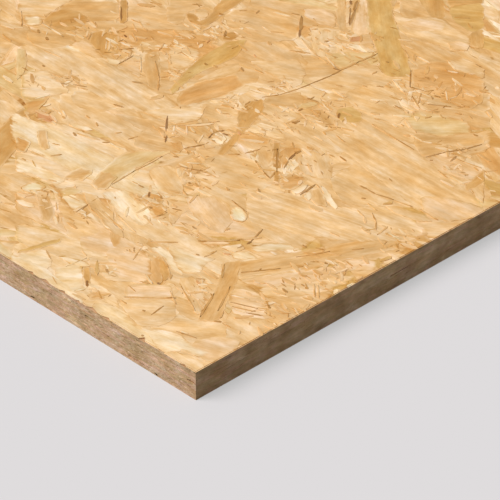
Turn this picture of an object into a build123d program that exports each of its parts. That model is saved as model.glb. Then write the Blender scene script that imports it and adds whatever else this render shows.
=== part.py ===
from build123d import *
import os

# Oriented strand board panel: thin softwood strands pressed with resin into
# one flat board and sawn square on all four sides. It lies flat on its back
# face, with its long side along X, which is also the way that most of the
# face strands lie. The origin is at the middle of the back face.

# The board, in a standard sheet size
panel_length = 2440
panel_width = 1220
panel_thickness = 18

# The saw has torn the ends of a few face strands out of the upper arris of
# the front long edge, in a stretch that starts at the right-hand corner.
# Each tear is as deep as the strand that came away was thick.
torn_run = 140
strand_thickness = 0.8
tear_length = 9
tear_reach = 2.8
cut_overrun = 1

# Each tear: its middle along the stretch, then its length, its reach into
# the face and the place of its tip, as shares of the sizes above
tear_shares = (
    (0.070, 0.50, 0.30, 0.20),
    (0.300, 0.55, 1.00, -0.25),
    (0.505, 0.70, 0.45, 0.30),
    (0.585, 1.00, 0.60, -0.30),
    (0.665, 0.45, 0.35, 0.10),
    (0.760, 0.60, 0.45, 0.25),
    (0.860, 0.90, 0.50, -0.20),
    (0.945, 0.50, 0.40, 0.15),
)

os.makedirs("parts", exist_ok=True)

top_plane = Plane.XY.offset(panel_thickness)
corner_x = panel_length / 2
front_edge_y = -panel_width / 2

with BuildPart() as osb_panel:
    # The pressed board, sawn to a square-edged sheet
    with BuildSketch():
        Rectangle(panel_length, panel_width)
    extrude(amount=panel_thickness)

    # The torn strand ends, each a flat-bottomed nick that narrows to a tip
    for place_share, length_share, reach_share, tip_share in tear_shares:
        half_length = tear_length * length_share / 2
        reach = tear_reach * reach_share
        with BuildSketch(top_plane):
            with Locations((corner_x - torn_run * place_share, front_edge_y)):
                Polygon(
                    (-half_length, -cut_overrun),
                    (half_length, -cut_overrun),
                    (half_length, 0),
                    (half_length * tip_share, reach),
                    (-half_length, 0),
                    align=None,
                )
        extrude(amount=-strand_thickness, mode=Mode.SUBTRACT)

osb_panel.part.label = "osb_panel"
export_step(osb_panel.part, "parts/osb_panel.step")
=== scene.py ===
import math

import bmesh
import bpy
import numpy as np
from mathutils import Matrix, Vector


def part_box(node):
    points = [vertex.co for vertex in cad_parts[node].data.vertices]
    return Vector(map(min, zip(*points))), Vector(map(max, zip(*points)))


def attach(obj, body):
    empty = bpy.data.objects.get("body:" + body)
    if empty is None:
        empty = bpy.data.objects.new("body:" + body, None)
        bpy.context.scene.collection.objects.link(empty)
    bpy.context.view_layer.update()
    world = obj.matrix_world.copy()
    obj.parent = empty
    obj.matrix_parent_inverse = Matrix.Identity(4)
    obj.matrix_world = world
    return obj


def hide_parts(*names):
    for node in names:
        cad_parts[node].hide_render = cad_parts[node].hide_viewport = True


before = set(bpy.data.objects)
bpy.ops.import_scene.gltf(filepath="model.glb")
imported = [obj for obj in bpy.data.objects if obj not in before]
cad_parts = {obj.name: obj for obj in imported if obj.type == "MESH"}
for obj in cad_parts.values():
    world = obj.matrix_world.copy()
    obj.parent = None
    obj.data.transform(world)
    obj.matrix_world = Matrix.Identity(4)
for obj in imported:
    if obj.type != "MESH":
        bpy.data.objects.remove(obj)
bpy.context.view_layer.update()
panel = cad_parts["osb_panel"]
panel_low, panel_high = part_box("osb_panel")
scene = bpy.context.scene

# Camera
# A long lens looks down on the near corner, where the front long edge meets
# the right end. The corner stands left of the middle and low in the picture.
camera_azimuth = math.radians(45.85)
camera_elevation = math.radians(33.49)
camera_distance = 1.73
camera_lens = 236.3
camera_sensor = 36
corner_to_aim_right = 0.02864
corner_to_aim_up = 0.06469
furthest_seen = 100
picture_size = 500

near_corner = Vector((panel_high.x, panel_low.y, panel_high.z))
camera_back = Vector((
    math.sin(camera_azimuth) * math.cos(camera_elevation),
    -math.cos(camera_azimuth) * math.cos(camera_elevation),
    math.sin(camera_elevation),
))
camera_right = Vector((math.cos(camera_azimuth), math.sin(camera_azimuth), 0))
camera_up = camera_back.cross(camera_right)
aim = near_corner + camera_right * corner_to_aim_right + camera_up * corner_to_aim_up
camera_place = aim + camera_back * camera_distance

bpy.ops.object.camera_add(location=camera_place)
camera = bpy.context.object
camera.name = "camera"
camera.rotation_euler = Matrix((camera_right, camera_up, camera_back)).transposed().to_euler()
camera.data.lens = camera_lens
camera.data.sensor_width = camera_sensor
camera.data.clip_end = furthest_seen
scene.camera = camera


def seen_on_face(pixel):
    """The point of the upper face that lies under a pixel of the picture."""
    half = picture_size / 2
    reach = camera_sensor / camera_lens / picture_size
    ray = (
        camera_right * (pixel[0] - half) * reach
        - camera_up * (pixel[1] - half) * reach
        - camera_back
    )
    along = (panel_high.z - camera_place.z) / ray.z
    return camera_place + ray * along


# Studio
# A pale floor under the sheet, one broad soft light from the upper left, and
# a weak even fill. The camera sees the floor's shadows paler and cooler than
# the light on it would leave them.
backdrop_colour = (0.738, 0.716, 0.723, 1)
floor_colour = (0.768, 0.696, 0.712, 1)
glow_colour = (0.718, 0.729, 0.73, 1)
floor_glow = 0.6
floor_bounce = 0.2
floor_size = 400
key_strength = 2.98
key_spread = math.radians(40)
key_direction = Vector((-0.45, -0.75, 1))
fill_strength = 0.285

scene.view_settings.view_transform = "Standard"


def add_node(tree, kind, inputs=None, **settings):
    """A new node with its settings and its inputs, each a value or a socket."""
    made = tree.nodes.new(kind)
    for name, value in settings.items():
        setattr(made, name, value)
    for name, value in (inputs or {}).items():
        if isinstance(value, bpy.types.NodeSocket):
            tree.links.new(value, made.inputs[name])
        else:
            made.inputs[name].default_value = value
    return made


def maths(tree, operation, a, b):
    """A maths node on two values, each a number or a socket."""
    return add_node(tree, "ShaderNodeMath", {0: a, 1: b}, operation=operation).outputs[0]


def seen_or_mirrored(tree):
    """Is 1 for what the camera sees, directly or in a gloss, and 0 for light."""
    ray = add_node(tree, "ShaderNodeLightPath").outputs
    mirrored = maths(tree, "MAXIMUM", ray["Is Glossy Ray"], ray["Is Transmission Ray"])
    return maths(tree, "MAXIMUM", ray["Is Camera Ray"], mirrored)


def mix_shaders(tree, share, first, second):
    """The first shader turned into the second by a share, a number or a socket."""
    parts = {0: share, 1: first.outputs[0], 2: second.outputs[0]}
    return add_node(tree, "ShaderNodeMixShader", parts)


def new_material(name):
    """A material with an empty node tree, and the tree."""
    material = bpy.data.materials.new(name)
    material.use_nodes = True
    material.node_tree.nodes.clear()
    return material, material.node_tree


bpy.ops.mesh.primitive_plane_add(size=floor_size)
floor = bpy.context.object
floor.name = "floor"
material, tree = new_material("studio_floor")
shaded = add_node(tree, "ShaderNodeBsdfDiffuse", {"Color": floor_colour})
glow = add_node(tree, "ShaderNodeEmission", {"Color": glow_colour})
dim = add_node(tree, "ShaderNodeBsdfDiffuse", {"Color": (floor_bounce, floor_bounce, floor_bounce, 1)})
lit = mix_shaders(tree, floor_glow, shaded, glow)
either = mix_shaders(tree, seen_or_mirrored(tree), dim, lit)
add_node(tree, "ShaderNodeOutputMaterial", {"Surface": either.outputs[0]})
floor.data.materials.append(material)

bpy.ops.object.light_add(type="SUN")
key = bpy.context.object
key.name = "key_light"
key.data.energy = key_strength
key.data.angle = key_spread
key.rotation_euler = key_direction.to_track_quat("Z", "Y").to_euler()

world = bpy.data.worlds.new("studio")
scene.world = world
world.use_nodes = True
tree = world.node_tree
tree.nodes.clear()
backdrop = add_node(tree, "ShaderNodeBackground", {"Color": backdrop_colour, "Strength": 1})
fill = add_node(tree, "ShaderNodeBackground", {"Color": (1, 1, 1, 1), "Strength": fill_strength})
either = mix_shaders(tree, seen_or_mirrored(tree), fill, backdrop)
add_node(tree, "ShaderNodeOutputWorld", {"Surface": either.outputs[0]})

# Photographed corner
# The strands, splinters and gaps of the near corner, each drawn with picture
# points and laid from the top down: what lies on a strand comes before it. The
# gaps are painted dark as the shade in them.
# The colours of the wood are written as the picture shows them, up to 255.
wood_colours = {
    "white": (251, 234, 200),
    "cream": (248, 217, 172),
    "pale": (244, 207, 158),
    "rosy": (241, 199, 148),
    "straw": (237, 195, 140),
    "honey": (235, 190, 131),
    "green_straw": (229, 190, 130),
    "sand": (231, 185, 126),
    "tan": (225, 177, 115),
    # torn is darker than the sawn wood: torn wood, partly painted shade so that the nicks' upward floors
    # look as dark as the shaded sawn side
    "torn": (196, 156, 116),
    "olive": (218, 171, 99),
    "orange": (224, 169, 102),
    "ochre": (216, 163, 94),
    "amber": (203, 150, 82),
    "rust": (214, 152, 98),
    # brown and dark are partly darker wood and partly painted shade, where they stand for gaps between
    # strands
    "brown": (171, 119, 52),
    "dark": (129, 78, 24),
}

# Thin marks: gaps, fines and splinters. The gaps are painted in the dark and
# brown colours as the shade in them. Each has its colour, its width in
# millimetres and its two ends.
corner_marks = (
    # upper left
    ("dark", 1.3, (121.3, 7), (121.3, 21)), ("brown", 1.8, (38, 29), (39, 33)),
    ("brown", 1.9, (46, 36.5), (48, 40)), ("amber", 0.9, (51, 20), (50, 26)),
    ("amber", 0.7, (44, 14), (46, 17)), ("brown", 1.2, (42, 65), (45, 66)),
    ("brown", 1.5, (60, 83), (66, 84)), ("brown", 1.0, (73, 84.5), (87, 86.5)),
    ("amber", 0.8, (66, 80), (73, 81)), ("brown", 1.5, (132, 81.5), (143, 83)),
    ("brown", 1.6, (113, 104), (124, 107)), ("amber", 1.0, (91, 33), (88, 39)),
    ("amber", 0.9, (116, 31), (119, 32)), ("brown", 0.9, (121, 31.5), (125, 31.5)),
    ("dark", 1.2, (124, 34.5), (127, 37)), ("brown", 0.7, (119, 49.5), (134, 48)),
    ("pale", 0.6, (120, 51.8), (133, 51)), ("brown", 1.0, (119, 63.5), (133, 55.5)),
    ("brown", 1.0, (104, 52), (112, 52.5)), ("amber", 0.8, (155, 61), (159, 76)),
    ("orange", 0.8, (159, 76), (158, 90)), ("orange", 1.0, (164, 43), (159, 50)),
    ("tan", 0.9, (21, 11), (22, 26)), ("amber", 1.2, (72, 39), (76, 41)),
    ("amber", 1.2, (62, 116), (65, 118)), ("amber", 1.2, (86, 115), (90, 118)),
    ("dark", 1.3, (167.2, 115.5), (166, 131)), ("dark", 1.2, (166.8, 135), (165.4, 142.5)),
    ("amber", 0.9, (167, 72), (171, 74)), ("cream", 1.5, (42, 23), (64, 36.5)),
    ("straw", 1.4, (110.2, 40), (108.6, 51)), ("pale", 0.7, (106.6, 40), (105.8, 50)),
    ("straw", 1.3, (88, 30), (86.5, 37)), ("cream", 1.9, (120, 42), (131, 46)),
    ("tan", 0.7, (133, 33), (137, 41)), ("cream", 2.2, (62, 84.5), (72, 80)),
    ("cream", 1.3, (149, 54.5), (155, 55.5)), ("white", 1.0, (34, 99), (50, 94.5)),
    ("cream", 1.2, (62, 110), (66, 116)), ("cream", 2.0, (42, 106.5), (51, 103.5)),
    ("cream", 0.6, (140.5, 57), (141, 72)), ("pale", 1.4, (134, 53), (140, 55)),
    ("tan", 0.8, (56, 202), (57, 210)), ("tan", 1.1, (58, 214), (58, 222)),
    ("amber", 1.6, (150, 2), (162, 4)), ("amber", 0.8, (131, 19), (141, 23)),
    ("tan", 0.6, (62, 57), (44, 50)), ("amber", 0.7, (63, 77), (52, 73)),
    # upper middle
    ("cream", 2.1, (273, 12), (291, 16.5)), ("brown", 1.3, (291, 13), (300, 14.8)),
    ("brown", 2.3, (301.3, 15.5), (300.6, 31)), ("brown", 0.8, (302.4, 17), (301.8, 29)),
    ("dark", 1.5, (300, 28), (299.4, 37)), ("brown", 1.2, (282, 81.5), (285.5, 83.5)),
    ("amber", 0.9, (279, 86), (286, 86.8)), ("cream", 1.9, (285, 80), (292.5, 84)),
    ("amber", 0.6, (262, 97), (280, 94.5)), ("amber", 0.8, (280, 94.5), (300, 88)),
    ("brown", 0.8, (300, 88), (312, 83)), ("brown", 0.9, (312, 83), (331, 75.2)),
    ("brown", 1.0, (331, 75.2), (341, 70)), ("amber", 1.2, (341, 70), (358, 62)),
    ("amber", 1.3, (358, 62), (378, 53)), ("brown", 1.0, (307, 98), (318.5, 101.5)),
    ("brown", 1.3, (299, 110.5), (302.5, 108)), ("rust", 1.9, (238, 131), (240.5, 135)),
    ("cream", 1.2, (210, 99), (228, 97.3)), ("cream", 1.3, (220, 100.5), (228, 102)),
    ("brown", 1.6, (241, 67), (243.4, 71)), ("brown", 1.7, (204.6, 62.6), (207, 65)),
    ("amber", 1.3, (213, 65), (217, 67)), ("amber", 1.9, (268, 41), (271, 44.5)),
    ("brown", 1.2, (219, 13), (223, 14.6)), ("brown", 1.3, (256, 13.5), (259.4, 10)),
    ("amber", 0.6, (239, 10.6), (247, 10)), ("brown", 0.7, (192, 4), (202, 5.2)),
    ("brown", 0.7, (196, 3), (200, 7)), ("amber", 1.0, (313, 18), (316, 21)),
    ("amber", 1.0, (312, 25), (318, 25)), ("amber", 1.0, (312, 29), (318, 28.6)),
    ("amber", 1.2, (315, 37), (318, 39)), ("cream", 2.3, (174, 45), (184, 48)),
    ("cream", 1.7, (180, 51), (196, 60)), ("cream", 1.3, (173, 74), (180, 77)),
    ("cream", 1.2, (183, 23), (190, 27)), ("cream", 1.2, (192, 24), (201, 30)),
    ("brown", 1.5, (225.6, 30), (224.6, 37)), ("amber", 0.8, (232, 48.5), (238, 45)),
    ("rust", 0.9, (207, 43), (210, 39)), ("cream", 0.8, (262, 26), (272, 33)),
    ("amber", 0.9, (245, 104.5), (250, 101)), ("amber", 0.9, (231, 107), (234, 108)),
    ("cream", 1.3, (242, 106), (247, 110)), ("amber", 0.7, (290, 50), (310, 53)),
    ("amber", 1.0, (255, 69), (264, 73)), ("rust", 1.0, (254, 54), (256, 57)),
    # upper right
    ("dark", 1.7, (350.4, 0), (351, 4.5)), ("brown", 2.3, (357, 0), (354, 11)),
    ("brown", 1.9, (355, 9), (349.6, 25.5)), ("dark", 0.7, (350.6, 8), (349.2, 24)),
    ("cream", 1.2, (345, 32), (349, 39)), ("brown", 1.6, (385.5, 61.6), (389, 62)),
    ("brown", 1.1, (371, 57.5), (375, 58)), ("amber", 0.9, (373, 62), (377, 60)),
    ("cream", 0.9, (325, 55), (336, 68)), ("dark", 1.1, (333, 68), (341.5, 70.4)),
    ("cream", 1.4, (417, 56), (430.5, 63)), ("cream", 1.2, (447, 60), (456, 70)),
    ("brown", 0.9, (410.6, 70), (410, 87)), ("brown", 0.9, (410, 87), (424, 90.4)),
    ("amber", 1.1, (424, 91.6), (434, 90)), ("brown", 1.0, (428, 104), (451, 106.6)),
    ("brown", 1.2, (434, 95.4), (441, 97.2)), ("brown", 1.5, (394, 105), (402.5, 109)),
    ("amber", 0.9, (412, 96), (420, 108)), ("amber", 0.8, (421, 93), (418, 104)),
    ("cream", 1.6, (393, 80), (404, 92)), ("straw", 1.2, (404, 92), (412, 100)),
    ("cream", 1.5, (402, 106), (416, 111)), ("cream", 0.9, (414, 90), (434, 98)),
    ("brown", 1.0, (475, 64), (482, 67.5)), ("amber", 1.0, (454, 17), (470, 18)),
    ("amber", 1.5, (468, 23), (472, 28)), ("brown", 1.0, (378, 86), (384, 87)),
    ("amber", 0.9, (372, 74), (377, 71)), ("brown", 0.8, (376, 86), (382, 86.4)),
    ("dark", 1.6, (339.2, 112.5), (338.4, 118)), ("amber", 1.0, (362, 85), (368, 87)),
    ("amber", 1.0, (336, 85), (342, 86)), ("amber", 1.0, (379, 36), (383, 38)),
    ("brown", 1.2, (425, 77), (430, 79)), ("amber", 1.0, (460, 104), (470, 107)),
    ("amber", 1.3, (455, 113), (462, 114)), ("amber", 1.0, (440, 114), (443, 118)),
    ("cream", 1.0, (322, 103), (330, 111)), ("brown", 0.7, (390, 27), (398, 29)),
    ("sand", 0.7, (405, 50), (409, 58)), ("cream", 1.0, (404, 45), (414, 49)),
    # left
    ("brown", 1.8, (73, 132), (76, 136)), ("tan", 1.5, (76, 133), (100, 140)),
    ("brown", 1.2, (102, 142.4), (110, 142)), ("cream", 1.6, (108, 142), (124, 150)),
    ("amber", 0.8, (112, 184.5), (134, 171)), ("sand", 0.8, (134, 171), (162, 156)),
    ("dark", 1.6, (149.8, 191.5), (148.4, 197)), ("brown", 2.0, (148.6, 206.6), (152.4, 208)),
    ("brown", 1.5, (160, 196), (162, 199)), ("brown", 1.2, (157, 216.4), (163, 213.6)),
    ("amber", 1.2, (135, 198), (140, 200)), ("brown", 1.4, (138, 184.6), (144, 187.4)),
    ("amber", 0.7, (132, 181), (138, 184)), ("brown", 0.9, (76, 212), (88, 204)),
    ("tan", 0.8, (88, 204), (98, 197.5)), ("pale", 0.8, (95, 208), (118, 227)),
    ("tan", 0.8, (102, 211), (124, 230)), ("pale", 0.7, (118, 215), (136, 232)),
    ("cream", 0.9, (104, 211), (110, 216)), ("cream", 1.0, (103, 224), (110, 229)),
    ("amber", 1.2, (50, 156), (62, 154)), ("amber", 1.0, (22, 158), (26, 160.5)),
    ("amber", 1.0, (50, 190), (53, 192)), ("olive", 0.9, (32, 160), (36, 167)),
    ("amber", 1.2, (52, 184), (55, 187)), ("rust", 1.4, (47, 118), (52, 121)),
    ("tan", 0.9, (115, 133), (122, 132)), ("amber", 1.0, (96, 122), (98, 126)),
    ("tan", 0.8, (128, 139), (138, 136)), ("amber", 0.9, (52, 143), (60, 145)),
    # middle
    ("dark", 1.1, (208.4, 138), (213, 133)), ("brown", 1.1, (213, 133), (218, 131)),
    ("dark", 1.1, (218, 131), (224.4, 130.6)), ("dark", 1.4, (222, 133.2), (228.4, 135)),
    ("brown", 1.2, (211, 139.6), (215, 141)), ("brown", 1.0, (184, 148.4), (204.6, 144)),
    ("tan", 0.8, (172, 126), (200, 123)), ("tan", 0.8, (200, 123), (220, 121)),
    ("brown", 1.4, (178.6, 165.6), (190, 168.6)), ("brown", 0.9, (190, 168.6), (203.6, 170.8)),
    ("brown", 1.7, (188, 182), (191, 184)), ("amber", 1.3, (195, 182.6), (199, 187)),
    ("amber", 1.1, (205, 186), (211, 189)), ("amber", 1.4, (226, 187), (229, 190)),
    ("brown", 1.4, (257.6, 188), (260, 192.4)), ("pale", 1.0, (194, 176), (200, 186)),
    ("brown", 1.1, (255, 160), (257, 163)), ("tan", 1.0, (257, 163), (264, 172)),
    ("brown", 1.0, (264, 172), (269.4, 177.6)), ("amber", 0.9, (270, 178), (275, 172)),
    ("brown", 1.6, (276.8, 148), (277, 172)), ("brown", 1.7, (301, 150.2), (294, 154)),
    ("dark", 1.6, (295, 153.4), (288.4, 160)), ("brown", 1.2, (288.4, 160), (283.6, 169)),
    ("brown", 1.2, (300, 194.8), (315.4, 184)), ("brown", 1.4, (291.4, 121.4), (297, 123.6)),
    ("brown", 1.6, (292, 123), (300, 120.4)), ("brown", 0.9, (231.6, 200), (247, 212)),
    ("brown", 1.4, (192, 226), (196.4, 229)), ("amber", 1.3, (225, 230), (230, 228)),
    ("amber", 1.0, (228, 154), (240, 154)), ("amber", 1.0, (245, 153), (260, 149)),
    ("brown", 0.9, (172, 208), (182, 210.4)), ("tan", 0.8, (240, 182), (246, 186)),
    ("amber", 0.8, (170, 151), (178, 157)), ("amber", 0.9, (183, 190), (187, 195)),
    ("brown", 0.8, (173, 156), (179, 157)), ("amber", 1.0, (292, 142), (294, 148)),
    ("straw", 0.8, (284, 122), (294, 132)), ("cream", 1.0, (258, 126), (271, 131)),
    # right
    ("orange", 0.8, (372, 124), (398, 140)), ("brown", 0.8, (398, 140), (414, 149.4)),
    ("brown", 0.9, (426, 157), (445, 152)), ("brown", 0.9, (445, 152), (465, 149)),
    ("brown", 0.9, (465, 149), (482, 144)), ("brown", 1.4, (359.6, 185.6), (368, 189)),
    ("brown", 1.0, (366, 188.6), (376, 194)), ("brown", 0.9, (376, 194), (394, 199.4)),
    ("brown", 1.0, (339.6, 156), (346.4, 161)), ("brown", 1.0, (388.6, 178), (392, 181)),
    ("brown", 1.2, (361, 198), (365.6, 198.2)), ("amber", 1.8, (383, 203.6), (393, 203)),
    ("brown", 1.0, (429.6, 160), (433, 160)), ("brown", 1.2, (450, 161.4), (456.4, 156)),
    ("cream", 1.8, (450, 176), (464.6, 184)), ("cream", 1.2, (411, 134.6), (424, 142)),
    ("cream", 1.2, (420, 141), (433, 143)), ("brown", 1.4, (473, 134), (478, 136)),
    ("amber", 0.8, (394, 200), (412, 206.6)), ("brown", 0.9, (409, 205), (413, 207)),
    ("amber", 0.9, (336, 135), (345, 142)), ("amber", 0.7, (454, 158), (482, 168)),
    ("amber", 0.7, (438, 170), (448, 178)), ("cream", 1.3, (392, 124), (398, 127)),
    ("amber", 0.9, (401, 124), (404, 126)), ("tan", 1.0, (425, 118), (432, 116)),
    # lower left
    ("dark", 1.7, (86.6, 280), (87.4, 286.4)), ("olive", 2.2, (97, 260), (97, 275)),
    ("amber", 1.0, (97, 260), (97, 266)), ("brown", 1.7, (105.6, 268.6), (108.4, 272.4)),
    ("tan", 1.1, (129, 249), (131, 252)), ("brown", 0.9, (134, 247), (134, 252)),
    ("amber", 0.9, (141, 248), (133, 260)), ("dark", 1.8, (157, 282.4), (159.4, 284)),
    ("tan", 0.9, (162, 257), (168, 267)), ("tan", 0.9, (168, 267), (170.4, 278)),
    ("amber", 1.0, (172, 274), (170, 279)), ("green_straw", 0.8, (66, 266.6), (87, 257.6)),
    ("sand", 0.9, (82, 250), (87, 256)), ("amber", 1.0, (98, 290), (102, 299)),
    ("brown", 0.8, (151, 315), (163.6, 305.6)), ("brown", 1.4, (142, 310), (145.6, 311)),
    ("amber", 1.0, (121, 299.6), (127, 304)), ("amber", 0.7, (128, 285), (136, 291.6)),
    ("brown", 1.5, (141, 334.8), (144, 336)), ("tan", 1.0, (124, 297), (176, 297.6)),
    ("tan", 1.7, (150, 241.4), (178, 242)), ("sand", 1.3, (198, 241), (240, 240)),
    ("tan", 1.2, (230, 239.6), (262, 237.6)), ("amber", 0.9, (139, 281), (150, 283)),
    ("amber", 0.8, (52, 276), (57, 284)), ("white", 1.0, (74, 291), (86, 288.4)),
    ("amber", 1.1, (46, 250), (51, 259)), ("cream", 1.4, (145, 274), (153, 284)),
    # lower middle
    ("amber", 1.2, (224, 264), (222, 278)), ("amber", 1.3, (214, 293), (200, 317)),
    ("amber", 1.2, (230, 286), (218, 311)), ("brown", 1.2, (213.6, 321), (221.6, 321.4)),
    ("tan", 1.0, (223.6, 311), (220, 318)), ("amber", 0.9, (241, 272.4), (281, 268)),
    ("dark", 1.2, (246.6, 243.8), (251.4, 241)), ("brown", 1.1, (250.6, 241.4), (262.6, 229)),
    ("brown", 1.5, (237, 248.4), (243.6, 245.4)), ("tan", 1.1, (204, 257), (216.6, 250.4)),
    ("rust", 1.5, (223, 253), (231, 254.4)), ("amber", 0.7, (181, 286), (196, 311)),
    ("sand", 0.8, (170, 291), (176, 304)), ("rust", 1.6, (196, 280), (200, 284)),
    ("brown", 0.8, (196, 278.4), (206, 279)), ("cream", 1.7, (206, 281.4), (213, 283.6)),
    ("cream", 1.7, (200, 290), (207.6, 290.6)), ("brown", 1.4, (195.6, 254), (199.6, 255)),
    ("brown", 0.8, (176, 331), (197, 338)), ("cream", 1.4, (180, 331), (188.6, 333.6)),
    ("brown", 0.8, (230, 302), (258, 308.4)), ("amber", 0.7, (232, 306.4), (256, 311.6)),
    ("brown", 1.1, (246, 312.6), (262.6, 315.4)), ("amber", 1.5, (266, 300.6), (268, 305)),
    ("brown", 1.4, (267.6, 304), (270, 308.4)), ("rosy", 1.5, (282.6, 303), (287, 309.6)),
    ("cream", 0.9, (231, 295), (250, 299)), ("cream", 0.9, (234, 309.6), (246, 312)),
    ("brown", 1.3, (302, 244.6), (306.6, 247)), ("amber", 0.9, (316, 247.6), (325, 250)),
    ("brown", 1.7, (324.4, 262), (327.4, 264)), ("brown", 1.7, (282, 288), (287.4, 292.4)),
    ("brown", 1.1, (301, 284), (304.6, 286)), ("amber", 1.6, (305, 287), (308.6, 288.4)),
    ("tan", 1.3, (355, 280.4), (362.6, 276)), ("amber", 1.4, (300, 275), (306, 276.6)),
    ("tan", 0.8, (314, 284), (315, 297)), ("tan", 0.8, (318, 285), (319, 298)),
    ("amber", 0.9, (372, 213), (376, 221)), ("amber", 0.8, (376, 221), (376, 230)),
    ("amber", 1.0, (330, 232), (340, 236)), ("white", 1.3, (387, 232.4), (401, 240)),
    ("olive", 0.9, (376.4, 228), (365, 230.6)), ("tan", 1.2, (357, 209.6), (364, 216)),
    ("tan", 1.5, (364, 216), (365.6, 223)), ("tan", 1.3, (388, 226), (377, 234.6)),
    ("olive", 0.9, (368, 203), (378, 211)), ("amber", 1.1, (396, 243), (398.4, 248)),
    ("tan", 0.9, (346, 261), (353, 266)), ("orange", 0.9, (296, 257), (330, 251)),
    ("amber", 0.8, (352, 249.6), (364, 248)),
)

# Small flakes and chips that lie on the larger strands, in the same form
small_flakes = (
    ("tan", 1.0, (420, 209), (438, 220)), ("olive", 2.4, (383, 204.4), (393, 201)),
    ("tan", 2.2, (301, 38), (318, 56)), ("tan", 1.6, (318, 56), (338, 69)),
    ("honey", 4.0, (256, 88), (276, 93)), ("tan", 4.0, (150, 99), (164, 95)),
    ("olive", 3.0, (380, 261), (392, 256)), ("ochre", 4.0, (188, 19), (202, 24)),
    ("sand", 4.0, (309, 205), (323, 211)), ("orange", 4.0, (137, 4), (155, 6)),
    ("tan", 3.4, (250, 193), (262, 199)), ("pale", 3.0, (184, 126), (215, 123)),
    ("rosy", 3.0, (202, 243), (230, 243)), ("cream", 4.4, (59, 257), (91, 266)),
    ("cream", 4.6, (69, 124), (93, 130)), ("cream", 4.6, (16, 200), (35, 207)),
    ("rosy", 3.6, (399, 243), (419, 249)), ("straw", 8.0, (386, 206), (432, 221)),
    ("straw", 9.0, (84, 192), (114, 222)), ("straw", 6.0, (100, 214), (124, 238)),
)

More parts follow.
